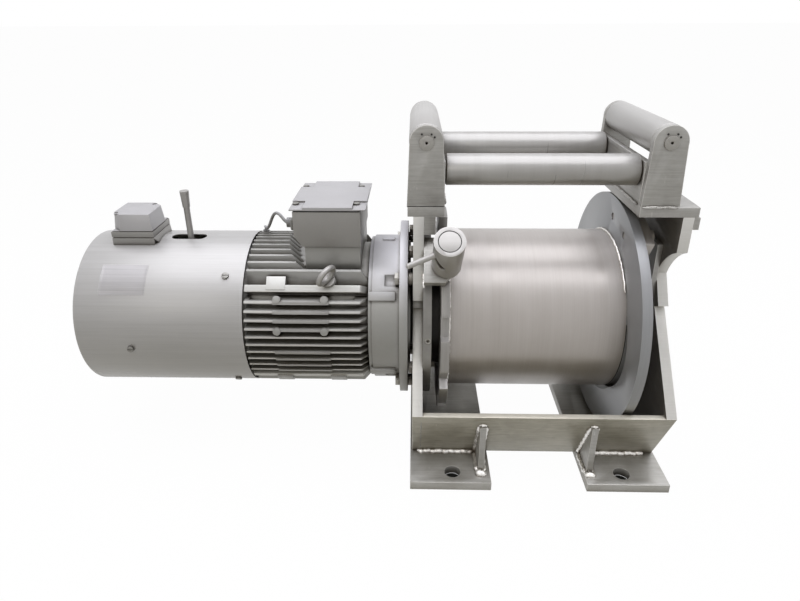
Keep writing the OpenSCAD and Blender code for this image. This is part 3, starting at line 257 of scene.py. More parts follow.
def rolled_plate(name, light, dark, rough, grain=UPRIGHT_GRAIN, painted_side_light_and_shade=0.0, painted_top_light_above=None, seam=None):
    """Satin stainless plate: grain, clouds, scuffs and bright edges, partly wear and partly painted highlight.

    painted_side_light_and_shade is the strength of the painted highlight on the edge faces of an upright plate,
    which also paints shade on its inner face; painted_top_light_above is the height above which upward faces
    get a painted highlight, and seam the two heights of a painted shadow of a gap at the front.
    """
    finish = Finish(name)
    lines = finish.noise(1.0, finish.stretched(grain), 4.0, 0.6)
    clouds = finish.noise(11.0, detail=3.0)
    patches = finish.noise(38.0, detail=4.0, roughness=0.65, distortion=0.6)
    tone = lines * 0.35 + clouds * 0.35 + patches * 0.3
    colour = finish.ramp(tone, [(0.4, dark), (0.6, light)])
    scuffs = finish.noise(1.0, finish.stretched((210.0, 24.0, 60.0)), 2.0) > 0.73
    colour = finish.blend(scuffs * 0.35, colour, lighter(light, 1.5))
    # brighter colour for the edges, partly wear and partly painted highlight, and for the painted highlights
    # below
    highlight_and_wear_colour = lighter(light, 1.7, 0.1)
    colour = finish.edge_wear_and_highlight(colour, 0.0018, 0.8, highlight_and_wear_colour)
    facing = finish.axes(finish.node("NewGeometry", output="Normal"))
    x, y, z = finish.axes()
    if painted_side_light_and_shade:
        # painted shade on the inner face of the plate
        inner = (facing[0] * x < -0.05) * 0.75
        colour = finish.blend(inner, colour, tuple(c * k for c, k in zip(dark, (0.42, 0.37, 0.33))))
        # painted highlight on the faces that don't face sideways, the plate's edges
        colour = finish.blend((facing[0].size() < 0.5) * painted_side_light_and_shade, colour, highlight_and_wear_colour)
    if painted_top_light_above:
        # painted highlight on the upward faces above a height
        colour = finish.blend((z > painted_top_light_above) * (facing[2] > 0.7) * 0.9, colour, highlight_and_wear_colour)
    if seam:
        # painted shadow of the gap between the bracket and its base, along the front
        colour = finish.blend(z.within(*seam) * (y < 0.0), colour, GAP_PAINTED_SHADOW)
    gloss = finish.gloss(patches, rough, 0.07, 0.08)
    return finish.close(colour, gloss, 0.42, lines + patches * 0.6, 0.00005, 0.25)


def lock_groove(x, y, z):
    """The thin gap between the lock's pin and its sleeve, whose shadow is painted dark; the lock leans forward
    at 45 degrees.
    """
    low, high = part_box("lock_pin")
    from_lock = distance(x - (low.x + high.x) / 2, (y + z - AXIS_Z) * math.sqrt(0.5))
    return from_lock.within(*LOCK_GAP)


def rope_slot(x, y, z):
    """The slot between barrel and flange that the rope's end goes down, a crescent whose inner shadow is
    painted dark.
    """
    slot_radius, slot_down, slot_ahead = 0.1372, 0.0068, 0.0012
    barrel_radius, flange_face_x = 0.135, 0.127
    in_slot = distance(y + slot_ahead, z - (AXIS_Z - slot_down)) < slot_radius
    return in_slot * (distance(y, z - AXIS_Z) > barrel_radius) * (x < flange_face_x)


def stake_marks(x, y, z):
    """The punched marks beside the side rollers' axles."""
    rings = []
    for node in ("left_roller", "right_roller"):
        low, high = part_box(node)
        from_axle = distance(x - (low.x + high.x) / 2, z - (low.z + high.z) / 2)
        rings.append(from_axle.within(*STAKE_RING))
    return rings[0].most(rings[1]) * (y.size() > BRACKET_FACE_Y)


def turned_metal(name, light, dark, rough, pitch=900.0, along="X", rings=0.4, dark_at=None):
    """Turned metal: fine tool marks round the axis, with a soft variation along it.

    dark_at is a test of the place, for a mark that is dark, or for a gap whose shadow is painted dark.
    """
    finish = Finish(name)

    def ringed(fine, coarse):
        return finish.stretched(tuple(fine if axis == along else coarse for axis in "XYZ"))

    marks = finish.noise(1.0, ringed(pitch, 6.0), 3.0, 0.7)
    bands = finish.noise(1.0, ringed(60.0, 3.0), 3.0, 0.6)
    stains = finish.noise(26.0, detail=4.0, roughness=0.6, distortion=0.4)
    tone = marks * rings + bands * (0.8 - rings) + stains * 0.2
    colour = finish.ramp(tone, [(0.34, dark), (0.66, light)])
    # brighter edges, partly wear and partly painted highlight
    colour = finish.edge_wear_and_highlight(colour, 0.001, 0.6, lighter(light, 1.6, 0.1))
    if dark_at:
        # dark marks, and the painted shadow inside gaps
        colour = finish.blend(dark_at(*finish.axes()), colour, MARK_AND_GAP_SHADOW)
    gloss = finish.gloss(bands, rough, 0.05, 0.07)
    return finish.close(colour, gloss, 0.3, marks, 0.00003, 0.15)


def silver_paint(name, light, dark, rough, cast=0.5, painted_fin_highlight=0.0, painted_crown_light=0.0):
    """Silver paint over a casting: a sandy relief, a metal flake and painted shade in the corners.

    cast is the share of the sand, painted_fin_highlight the strength of the painted highlight on the tips of
    the motor's fins, and painted_crown_light that of the painted highlight and sky reflection on the top.
    """
    finish = Finish(name)
    sand = finish.noise(420.0, detail=2.0)
    lumps = finish.noise(60.0, detail=4.0, roughness=0.6)
    clouds = finish.noise(9.0, detail=3.0)
    flake = finish.spots(2200.0)
    tone = clouds * 0.5 + lumps * 0.35 + flake * 0.25
    colour = finish.ramp(tone, [(0.32, dark), (0.68, light)])
    x, y, z = finish.axes()
    # painted highlight on the tips of the motor's fins
    if painted_fin_highlight:
        from_axis = distance(y, z - AXIS_Z)
        foot, tip, end = FIN_TIPS
        at_tip = finish.ranged(from_axis, foot, tip) * (from_axis < end)
        on_fins = (x < MOTOR_FRONT_X) * (y.size() > PEDESTAL_Y)
        edged = finish.edges(0.0026) * 0.4 + 0.6
        colour = finish.blend(at_tip * on_fins * edged * painted_fin_highlight, colour, lighter(light, 2.1))
    # painted highlight and sky reflection on the upward top of the end shield
    if painted_crown_light:
        lit_crown = finish.ranged(z + lumps * 0.02, *SHIELD_CROWN_Z) * painted_crown_light
        colour = finish.blend(lit_crown, colour, CROWN_LIGHT_COLOUR)
    # brighter edges, partly wear and partly painted highlight
    colour = finish.edge_wear_and_highlight(colour, 0.0009, 0.6, lighter(light, 1.7))
    # painted shade in the close corners
    colour = finish.paint_hollow_shade(colour, 0.006, [(0.5, PAINTED_CORNER_SHADE), (0.92, PLAIN)])
    gloss = finish.gloss(lumps, rough, 0.06, 0.08)
    return finish.close(colour, gloss, 0.3, sand * cast + lumps, 0.00015, 0.35)


def gearbox_coat():
    """The gearbox: a bare machined flange at the plate and a dark painted tube behind it."""
    finish = Finish("gearbox_coat")
    tube = finish.axes()[0] > GEARBOX_TUBE_X
    clouds = finish.noise(30.0, detail=4.0)
    bare = finish.ramp(clouds, [(0.3, (0.27, 0.262, 0.25)), (0.7, (0.36, 0.352, 0.34))])
    dark = finish.ramp(clouds, [(0.3, (0.025, 0.02, 0.017)), (0.7, (0.06, 0.05, 0.042))])
    return finish.close(finish.blend(tube, bare, dark), 0.45, 0.3, clouds, 0.0001, 0.3)


def brushed_sheet(name, light, dark, rough):
    """Sheet metal with long brush lines along the motor and faint handling marks."""
    finish = Finish(name)
    brush = finish.noise(1.0, finish.stretched((9.0, 700.0, 700.0)), 4.0, 0.65)
    long_lines = finish.noise(1.0, finish.stretched((3.0, 160.0, 160.0)), 3.0, 0.6)
    clouds = finish.noise(7.0, detail=3.0)
    tone = brush * 0.35 + long_lines * 0.4 + clouds * 0.25
    colour = finish.ramp(tone, [(0.38, dark), (0.62, light)])
    # brighter edges, partly wear and partly painted highlight
    colour = finish.edge_wear_and_highlight(colour, 0.0008, 0.7, lighter(light, 1.6, 0.1))
    gloss = finish.gloss(long_lines, rough, 0.06, 0.08)
    return finish.close(colour, gloss, 0.3, brush, 0.00003, 0.25)


def moulded(name, light, dark, rough):
    """Moulded plastic or rubber with a fine grain."""
    finish = Finish(name)
    fine = finish.noise(500.0, detail=2.0)
    clouds = finish.noise(20.0, detail=3.0)
    colour = finish.ramp(fine * 0.4 + clouds * 0.6, [(0.35, dark), (0.65, light)])
    gloss = finish.gloss(clouds, rough, 0.06, 0.06)
    return finish.close(colour, gloss, 0.0, fine, 0.00006, 0.3)


def weld_metal(name, shades):
    """Weld bead: ripples with their heat colour, from the toes to the crests."""
    finish = Finish(name)
    ripple = finish.noise(240.0, detail=4.0, roughness=0.7)
    heat = finish.noise(45.0, detail=3.0)
    colour = finish.ramp(ripple * 0.6 + heat * 0.4, list(zip((0.32, 0.46, 0.65), shades)))
    gloss = finish.gloss(ripple, 0.35, 0.15, 0.15)
    return finish.close(colour, gloss, 0.9, ripple, 0.0006, 0.8)


def drab(name, colour, rough, metallic=0.0):
    """A quiet finish for pieces that are seen only through openings."""
    finish = Finish(name)
    cloud = finish.noise(60.0, detail=4.0, roughness=0.6)
    tone = finish.ramp(cloud, [(0.3, lighter(colour, 0.6)), (0.7, colour)])
    gloss = finish.gloss(cloud, rough, 0.08, 0.08)
    return finish.close(tone, gloss, metallic, cloud, 0.0002, 0.3)


def mix_finishes():
    """Makes every finish once and hands them back by the record's slot."""
    return {
        "frame_steel": rolled_plate("frame_steel_satin", (0.46, 0.455, 0.44), (0.34, 0.332, 0.315), 0.42),
        "foot_steel": rolled_plate("foot_steel_satin", (0.51, 0.505, 0.485), (0.38, 0.37, 0.345), 0.44,
                                   FOOT_GRAIN),
        "drum_steel": turned_metal("drum_steel_turned", (0.57, 0.54, 0.52), (0.49, 0.458, 0.435), 0.36,
                                    700.0),
        "lock_disc_steel": turned_metal("lock_disc_cut", (0.42, 0.41, 0.40), (0.34, 0.33, 0.32), 0.4, 300.0),
        "machined_steel": turned_metal("shaft_ground", (0.42, 0.41, 0.40), (0.30, 0.29, 0.28), 0.3),
        "roller_steel": turned_metal("roller_turned", (0.46, 0.455, 0.445), (0.41, 0.40, 0.39), 0.32, 260.0,
                                     rings=0.25),
        "axle_steel": turned_metal("axle_turned", (0.46, 0.45, 0.43), (0.38, 0.37, 0.35), 0.36, along="Y",
                                   dark_at=stake_marks),
        "lock_steel": turned_metal("lock_turned", (0.50, 0.49, 0.48), (0.43, 0.42, 0.41), 0.4, along="Z",
                                   dark_at=lock_groove),
        "gearbox_paint": gearbox_coat(),
        "bolt_steel": turned_metal("bolt_plated", (0.52, 0.51, 0.48), (0.40, 0.39, 0.36), 0.34, 500.0),
        "motor_silver": silver_paint("motor_silver_paint", (0.40, 0.40, 0.39), (0.33, 0.325, 0.31), 0.45,
                                     painted_fin_highlight=0.85),
        "eye_steel": silver_paint("eye_forged", (0.50, 0.49, 0.48), (0.36, 0.35, 0.34), 0.38, cast=0.3),
        "core_steel": drab("core_laminated", (0.08, 0.075, 0.07), 0.5, 0.8),
        "box_silver": silver_paint("box_silver_paint", (0.36, 0.35, 0.34), (0.30, 0.295, 0.285), 0.45,
                                   cast=0.3),
        # The same paint as box_silver, lighter and lilac as painted light and sky reflection on the lids
        "lid_silver": silver_paint("lid_silver_paint", (0.47, 0.465, 0.48), (0.42, 0.415, 0.425), 0.42,
                                   cast=0.3),
        "cowl_sheet": brushed_sheet("cowl_brushed", (0.50, 0.495, 0.495), (0.43, 0.425, 0.42), 0.38),
        "label_sheet": brushed_sheet("label_bare", (0.44, 0.43, 0.44), (0.30, 0.295, 0.30), 0.33),
        "gland_grey": moulded("gland_plastic", (0.35, 0.35, 0.36), (0.24, 0.24, 0.245), 0.45),
        "cable_grey": moulded("cable_jacket", (0.42, 0.42, 0.43), (0.32, 0.32, 0.33), 0.5),
        "brake_iron": drab("brake_cast", (0.16, 0.155, 0.15), 0.5, 0.7),
        "friction_lining": drab("brake_lining", (0.10, 0.07, 0.05), 0.8),
        "fan_motor_black": drab("fan_motor_paint", (0.03, 0.03, 0.032), 0.45),
        "fan_plastic": moulded("fan_moulded", (0.035, 0.035, 0.04), (0.02, 0.02, 0.022), 0.4),
    }


FINISHES = mix_finishes()
WELD = weld_metal("weld_bead", ((0.40, 0.36, 0.32), (0.74, 0.72, 0.69), (0.97, 0.96, 0.94)))
DULL_WELD = weld_metal("weld_bead_brushed", ((0.20, 0.19, 0.17), (0.32, 0.31, 0.29), (0.42, 0.41, 0.39)))
# Side plates: painted highlight on their edge faces and painted shade on their inner faces
SIDE_PLATE = rolled_plate("side_plate_satin", (0.48, 0.475, 0.46), (0.35, 0.342, 0.325), 0.42, painted_side_light_and_shade=0.55)
# The rails' finish is a darker, warmer copy of the plate steel: painted shade on their downward-facing front,
# with a painted highlight on their tops
RAIL = rolled_plate("rail_satin", (0.47, 0.45, 0.39), (0.28, 0.262, 0.21), 0.42, RAIL_GRAIN,
                    painted_top_light_above=RAIL_TOP_Z)
BRACKET = rolled_plate("bracket_satin", (0.46, 0.455, 0.44), (0.34, 0.332, 0.315), 0.42, seam=BRACKET_GAP_SHADOW_Z)
FLANGE = turned_metal("drum_flange_faced", (0.36, 0.368, 0.385), (0.29, 0.297, 0.31), 0.36, 700.0,
                      dark_at=rope_slot)
SHIELD = silver_paint("end_shield_crown_lit", (0.40, 0.40, 0.39), (0.33, 0.325, 0.31), 0.45, painted_crown_light=0.85)
SCREW = silver_paint("screw_plated", (0.34, 0.335, 0.32), (0.22, 0.215, 0.2), 0.36, cast=0.1)
LEVER = turned_metal("lever_plated", (0.42, 0.41, 0.40), (0.34, 0.33, 0.32), 0.35, 300.0, along="Z")
# Near-black seals, the lower one standing for the shadow under the terminal box
SEAL_AND_SHADOW_STRIP = moulded("seal_and_shadow_strip", (0.035, 0.034, 0.032), (0.02, 0.02, 0.02), 0.6)
PLUG = moulded("plug_plastic", (0.38, 0.38, 0.375), (0.3, 0.3, 0.295), 0.45)

# Pieces whose finish isn't the one of their slot
OWN_FINISH = {
    "motor_side_plate": SIDE_PLATE,
    "bearing_side_plate": SIDE_PLATE,
    "rails": RAIL,
    "bracket_left": BRACKET,
    "drum_flange": FLANGE,
    "small_screws": SCREW,
    "brake_lever": LEVER,
    "drive_end_shield": SHIELD,
}


# Handling of pieces
MERGE_WITHIN = 2e-6
FLAT_WITHIN = 0.4
BEAD_STEP = 0.0022
BEAD_WANDER = 0.12


def dress(piece, material):
    """Puts one finish on a piece, in all its slots."""
    if not piece.material_slots:
        piece.data.materials.append(material)
    for place in piece.material_slots:
        place.link = "DATA"
        place.material = material


def take(piece):
    """Leaves this piece alone selected and active."""
    bpy.ops.object.select_all(action="DESELECT")
    piece.select_set(True)
    bpy.context.view_layer.objects.active = piece


def node_slot(node):
    """The record's material slot of a carried-over piece."""
    for part in frame["record"]["subparts"]:
        if part["node"] == node:
            return part["material_slot"]
    raise ValueError("no slot for " + node)


def node_body(node):
    """The body that a carried-over piece rides on."""
    for body, members in frame["record"]["behaviour"]["bodies"].items():
        if node in members:
            return body
    raise ValueError("no body for " + node)


def smooth(piece, degrees):
    """Shades a piece smooth, but for the edges sharper than an angle."""
    take(piece)
    bpy.ops.object.shade_smooth_by_angle(angle=math.radians(degrees))


def clean_copy(node, name):
    """A merged copy of a carried-over piece, with its flat faces joined."""
    piece = bpy.data.objects.new(name, frame["nodes"][node].data.copy())
    bpy.context.scene.collection.objects.link(piece)
    take(piece)
    bpy.ops.mesh.customdata_custom_splitnormals_clear()
    bpy.ops.object.mode_set(mode="EDIT")
    bpy.ops.mesh.select_all(action="SELECT")
    bpy.ops.mesh.remove_doubles(threshold=MERGE_WITHIN)
    bpy.ops.mesh.dissolve_limited(angle_limit=math.radians(FLAT_WITHIN))
    bpy.ops.object.mode_set(mode="OBJECT")
    return piece


def round_edges(piece, width, segments=2, degrees=30.0):
    """Bevels the edges that are sharper than an angle."""
    take(piece)
    bevel = piece.modifiers.new("round", "BEVEL")
    bevel.width = width
    bevel.segments = segments
    bevel.limit_method = "ANGLE"
    bevel.angle_limit = math.radians(degrees)
    bpy.ops.object.modifier_apply(modifier=bevel.name)
    smooth(piece, 32.0)


def eased(node, width):
    """Stands for a carried-over piece, with its sharp edges eased as on the real one."""
    piece = clean_copy(node, node + "_eased")
    round_edges(piece, width, degrees=35.0)
    slot = node_slot(node)
    dress(piece, OWN_FINISH.get(node, FINISHES[slot]))
    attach(piece, node_body(node))
    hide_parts(node)


def settle(piece, body, material):
    """Dresses a new piece and says the body it rides on."""
    dress(piece, material)
    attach(piece, body)


def bead(name, points, radius, seed, on_drum=False, closed=False, ripple=0.1, material=WELD):
    """A weld bead along a line of points, with its ripples and uneven toes."""
    route = [Vector(p) for p in points]
    if closed:
        route.append(route[0])
    spread = []
    for start, end in zip(route, route[1:]):
        count = max(1, round((end - start).length / BEAD_STEP))
        spread += [start.lerp(end, i / count) for i in range(count)]
    if not closed:
        spread.append(route[-1])
    curve = bpy.data.curves.new(name, "CURVE")
    curve.dimensions = "3D"
    curve.bevel_depth = radius
    curve.bevel_resolution = 2
    curve.use_fill_caps = True
    line = curve.splines.new("POLY")
    line.points.add(len(spread) - 1)
    line.use_cyclic_u = closed
    for i, place in enumerate(spread):
        wave = math.sin(i * 2.1 + seed) * ripple + math.sin(i * 0.37 + seed * 3) * ripple * 0.8
        shift = Vector((math.sin(i * 0.9 + seed), math.sin(i * 1.3 + seed * 2), math.sin(i * 0.7 + seed * 5)))
        taper = 1.0
        if not closed:
            taper = min(1.0, 0.45 + 0.2 * min(i, len(spread) - 1 - i))
        line.points[i].co = (*(place + shift * radius * BEAD_WANDER), 1.0)
        line.points[i].radius = (1.0 + wave) * taper
    piece = bpy.data.objects.new(name, curve)
    bpy.context.scene.collection.objects.link(piece)
    take(piece)
    bpy.ops.object.convert(target="MESH")
    piece = bpy.context.object
    bpy.ops.object.mode_set(mode="EDIT")
    bpy.ops.mesh.select_all(action="SELECT")
    bpy.ops.mesh.remove_doubles(threshold=1e-6)
    bpy.ops.mesh.normals_make_consistent(inside=False)
    bpy.ops.object.mode_set(mode="OBJECT")
    smooth(piece, 60.0)
    if on_drum:
        settle(piece, "drum", material)
    else:
        settle(piece, "frame", material)


# Sizes and light
class WinchSizes(bpy.types.PropertyGroup):
    """Small sizes that the finish adds"""

    plate_edge: bpy.props.FloatProperty(name="Plate edge", description="Width of the ease on plate edges",
                                        default=0.0008, unit="LENGTH")
    weld_leg: bpy.props.FloatProperty(name="Weld leg", description="Radius of the frame's weld beads",
                                      default=0.0056, unit="LENGTH")
    lid_pad: bpy.props.FloatProperty(name="Lid corner", description="Width of the lid's sunk corners",
                                     default=0.021, unit="LENGTH")
    turned_edge: bpy.props.FloatProperty(name="Turned edge", description="Width of the ease on turned edges",
                                         default=0.0005, unit="LENGTH")
    mouth_edge: bpy.props.FloatProperty(name="Mouth edge",
                                        description="Width of the ease at the lock pin's mouth",
                                        default=0.0012, unit="LENGTH")
    casting_edge: bpy.props.FloatProperty(name="Casting edge", description="Width of the ease on castings",
                                          default=0.0005, unit="LENGTH")


class WinchStage(bpy.types.PropertyGroup):
    """Light and floor"""

    floor_size: bpy.props.FloatProperty(name="Floor size", description="Width of the floor", default=60.0,
                                        unit="LENGTH")
    floor_lift: bpy.props.FloatProperty(name="Floor white",
                                        description="How far the floor is lifted to white",
                                        default=0.98, subtype="FACTOR")
    surround: bpy.props.FloatProperty(name="Surround", description="Strength of the surround's own light",
                                      default=0.09)
    overhead: bpy.props.FloatProperty(name="Overhead lamp", description="Power of the overhead lamp",
                                      default=72.0, unit="POWER")
    front: bpy.props.FloatProperty(name="Front lamp", description="Power of the front lamp", default=8.0,
                                   unit="POWER")
    side: bpy.props.FloatProperty(name="Side lamp", description="Power of the side lamp", default=2.0,
                                  unit="POWER")


# Finishes on the carried-over pieces
class WINCH_OT_finishes(bpy.types.Operator):
    """Gives every carried-over piece the finish of its slot"""

    bl_idname = "winch.finishes"
    bl_label = "Finishes"

    def execute(self, context):
        for part in frame["record"]["subparts"]:
            dress(frame["nodes"][part["node"]], FINISHES[part["material_slot"]])
        return {"FINISHED"}


# Eased pieces
class WINCH_OT_plates(bpy.types.Operator):
    """Eases the edges of the frame's plates, feet and rails"""

    bl_idname = "winch.plates"
    bl_label = "Frame plates"

    def execute(self, context):
        sizes = context.scene.winch_sizes
        for node in ("motor_side_plate", "bearing_side_plate", "rails", "feet", "gussets", "bearing_doubler",
                     "fairlead_base_left", "fairlead_base_right", "bracket_left", "bracket_right",
                     "lock_block"):
            eased(node, sizes.plate_edge)
        return {"FINISHED"}


class WINCH_OT_turned(bpy.types.Operator):
    """Eases the drum, the rollers and the other turned pieces"""

    bl_idname = "winch.turned"
    bl_label = "Turned pieces"

    def execute(self, context):
        sizes = context.scene.winch_sizes
        for node in ("drum_flange", "lock_disc", "rope_clamp", "front_roller", "rear_roller", "left_roller",
                     "right_roller", "roller_axles", "bearing_cover", "lock_handle", "flange_bolts",
                     "gearbox_bolts", "small_screws", "oil_plug"):
            eased(node, sizes.turned_edge)
        for node in ("lock_sleeve", "lock_pin"):
            eased(node, sizes.mouth_edge)
        eased("brake_lever", sizes.turned_edge)
        return {"FINISHED"}


class WINCH_OT_motor(bpy.types.Operator):
    """Eases the castings and boxes of the motor"""

    bl_idname = "winch.motor"
    bl_label = "Motor castings"

    def execute(self, context):
        sizes = context.scene.winch_sizes
        for node in ("drive_end_shield", "rear_end_shield", "motor_housing", "terminal_box", "fan_box",
                     "fan_box_lid", "cable_gland", "eyebolt", "fan_cowl"):
            eased(node, sizes.casting_edge)
        return {"FINISHED"}


# Terminal box
LID_SKIRT = 0.002
LID_LIP = 0.003
LID_HOLLOW = 0.0006
CORNER_SINK = 0.0032
CORNER_STRETCH = 1.7
SEAL_BOX_START = 0.012


def box_piece(name, low, high):
    """A block between two corners, to be shaped."""
    bpy.ops.object.select_all(action="DESELECT")
    middle = [(a + b) / 2 for a, b in zip(low, high)]
    bpy.ops.mesh.primitive_cube_add(size=1.0, location=middle, scale=[b - a for a, b in zip(low, high)])
    piece = bpy.context.object
    piece.name = name
    take(piece)
    bpy.ops.object.transform_apply(location=True, rotation=True, scale=True)
    return piece


def pick_underside(piece):
    """Selects, in edit mode, the faces that look down."""
    shape = bmesh.from_edit_mesh(piece.data)
    for face in shape.faces:
        face.select_set(False)
    for face in shape.faces:
        if face.normal.z < -0.9:
            face.select_set(True)
    shape.select_flush_mode()
    bmesh.update_edit_mesh(piece.data)


class WINCH_OT_terminal(bpy.types.Operator):
    """Makes the terminal box's lid with its sunk corners, its seals, of which the lower is a near-black strip
    standing for the shadow under the box, and its side plug
    """

    bl_idname = "winch.terminal"
    bl_label = "Terminal box details"

    def execute(self, context):
        low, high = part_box("terminal_lid")
        seam_z = low.z + LID_SKIRT
        lid = box_piece("terminal_lid_cast", (low.x, low.y, seam_z), high)
        bpy.ops.object.mode_set(mode="EDIT")
        bpy.ops.mesh.select_mode(type="FACE")
        pick_underside(lid)
        bpy.ops.mesh.inset(thickness=LID_LIP, depth=0.0)
        bpy.ops.transform.translate(value=(0, 0, LID_HOLLOW))
        bpy.ops.object.mode_set(mode="OBJECT")
        wide = context.scene.winch_sizes.lid_pad
        deep = wide * CORNER_STRETCH
        for x in (low.x, high.x):
            for y in (low.y, high.y):
                corner = box_piece("corner_cut", (x - wide, y - deep, high.z - CORNER_SINK),
                                   (x + wide, y + deep, high.z + 0.01))
                cut = lid.modifiers.new("corner", "BOOLEAN")
                cut.operation = "DIFFERENCE"
                cut.solver = "EXACT"
                cut.object = corner
                take(lid)
                bpy.ops.object.modifier_apply(modifier=cut.name)
                bpy.data.objects.remove(corner)
        round_edges(lid, 0.0008)
        settle(lid, "frame", FINISHES["lid_silver"])
        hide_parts("terminal_lid")

        box_low, box_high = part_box("terminal_box")
        # the lower strip is near-black as a painted shadow under the box's overhang
        for name, z, inset, start in (("seal_lid", seam_z - 0.001, 0.0015, 0.0),
                                      ("seal_box_shadow_strip", box_low.z + 0.0002, 0.0028, SEAL_BOX_START)):
            seal = box_piece(name, (box_low.x + inset + start, box_low.y + inset, z - 0.001),
                             (box_high.x - inset, box_high.y - inset, z + 0.0009))
            round_edges(seal, 0.0004)
            settle(seal, "frame", SEAL_AND_SHADOW_STRIP)

        plug = box_piece("side_plug", (box_low.x - 0.006, box_low.y + 0.006, box_low.z + 0.024),
                         (box_low.x + 0.001, box_low.y + 0.019, box_low.z + 0.044))
        round_edges(plug, 0.0055, segments=5)
        settle(plug, "frame", PLUG)
        return {"FINISHED"}


# Label plate, left bare
LABEL_THICKNESS = 0.0006
LABEL_SINK = 0.0004
LABEL_RIM = 0.00018
LABEL_BUCKLE = 0.00007


class WINCH_OT_label(bpy.types.Operator):
    """Makes the bare label plate, slightly buckled on the cowl"""

    bl_idname = "winch.label"
    bl_label = "Label plate"

    def execute(self, context):
        low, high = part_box("label_plate")
        first = math.atan2(low.z - AXIS_Z, -low.y)
        last = math.atan2(high.z - AXIS_Z, -high.y)
        radius = math.hypot(high.y, high.z - AXIS_Z)
        bpy.ops.object.select_all(action="DESELECT")
        bpy.ops.mesh.primitive_grid_add(x_subdivisions=48, y_subdivisions=40, size=1.0)
        plate = context.object
        plate.name = "label_buckled"
        half_x, half_a = (high.x - low.x) / 2, (last - first) / 2
        for vertex in plate.data.vertices:
            u, v = vertex.co.x * 2, vertex.co.y * 2
            rim = min(1.0, (1 - max(abs(u), abs(v))) * 9)
            wave = math.sin(u * 4 + v * 2) * math.sin(v * 3 - u) + 0.4 * math.sin(u * 8 - v * 5)
            lift = LABEL_BUCKLE * wave * rim - LABEL_SINK + (LABEL_RIM if rim < 0.55 else 0.0)
            angle = (first + last) / 2 + half_a * v
            vertex.co = ((low.x + high.x) / 2 + half_x * u, -(radius + lift) * math.cos(angle),
                         AXIS_Z + (radius + lift) * math.sin(angle))
        take(plate)
        solid = plate.modifiers.new("thickness", "SOLIDIFY")
        solid.thickness = LABEL_THICKNESS
        solid.offset = -1.0
        bpy.ops.object.modifier_apply(modifier=solid.name)
        bpy.ops.object.mode_set(mode="EDIT")
        bpy.ops.mesh.select_all(action="SELECT")
        bpy.ops.mesh.normals_make_consistent(inside=False)
        bpy.ops.object.mode_set(mode="OBJECT")
        smooth(plate, 40.0)
        settle(plate, "frame", FINISHES["label_sheet"])
        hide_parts("label_plate")
        return {"FINISHED"}


# Brake cable
CABLE_DIAMETER = 0.005
CABLE_ROUTE = (
    (-0.404, -0.050, 0.397), (-0.408, -0.049, 0.399), (-0.413, -0.046, 0.405), (-0.419, -0.042, 0.410),
    (-0.426, -0.036, 0.408), (-0.431, -0.030, 0.401), (-0.436, -0.025, 0.391), (-0.441, -0.018, 0.381),
    (-0.446, -0.009, 0.373), (-0.451, 0.001, 0.369), (-0.455, 0.009, 0.368), (-0.457, 0.015, 0.367),
    (-0.457, 0.018, 0.365), (-0.457, 0.019, 0.362), (-0.457, 0.019, 0.360),
)


class WINCH_OT_cable(bpy.types.Operator):
    """Lays the thin cable from the terminal box to the motor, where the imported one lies"""

    bl_idname = "winch.cable"
    bl_label = "Brake cable"

    def execute(self, context):
        curve = bpy.data.curves.new("brake_lead", "CURVE")
        curve.dimensions = "3D"
        curve.bevel_depth = CABLE_DIAMETER / 2
        curve.bevel_resolution = 4
        curve.use_fill_caps = True
        line = curve.splines.new("NURBS")
        line.points.add(len(CABLE_ROUTE) - 1)
        line.use_endpoint_u = True
        line.order_u = 4
        for point, place in zip(line.points, CABLE_ROUTE):
            point.co = (*place, 1.0)
        lead = bpy.data.objects.new("brake_lead", curve)
        context.scene.collection.objects.link(lead)
        settle(lead, "frame", FINISHES["cable_grey"])
        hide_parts("brake_cable")
        return {"FINISHED"}


# Welds
RAIL_Y = 0.1345
RAIL_LEAN = 0.5105
FOOT_Z = 0.015
RAIL_WELDS = (("left", -0.195, -0.099), ("right", 0.092, 0.188))
PLATE_SEAM_X = -0.189
PLATE_SEAM_HEIGHT = 0.1
GUSSETS = (("left", -0.091), ("right", 0.084))
GUSSET_HALF = 0.0055
GUSSET_END = 0.187
GUSSET_TOP = 0.105
BRACKETS = (("left", -0.185), ("right", 0.151))
BRACKET_HALF = 0.026
BRACKET_Y = 0.1195
BRACKET_Z = 0.4452
BRACKET_INNER_FACES = (("left", -0.1572, 1), ("right", 0.1232, -1))
BRACKET_INNER_END = 0.105
LOCK_BLOCK_WELD = ((-0.1865, -0.116, 0.3405), (-0.1865, -0.134, 0.3225))
FLANGE_WELD = (0.1242, 0.1372, 36, 288)
DISC_WELD = (-0.1463, 0.1370, 0, 360)


def ring_points(x, radius, first, last):
    """Points every two degrees round the drum axis, between two angles above the front."""
    count = max(2, round((last - first) / 2.0))
    angles = [math.radians(first + (last - first) * i / count) for i in range(count + 1)]
    return [(x, -radius * math.cos(a), AXIS_Z + radius * math.sin(a)) for a in angles]


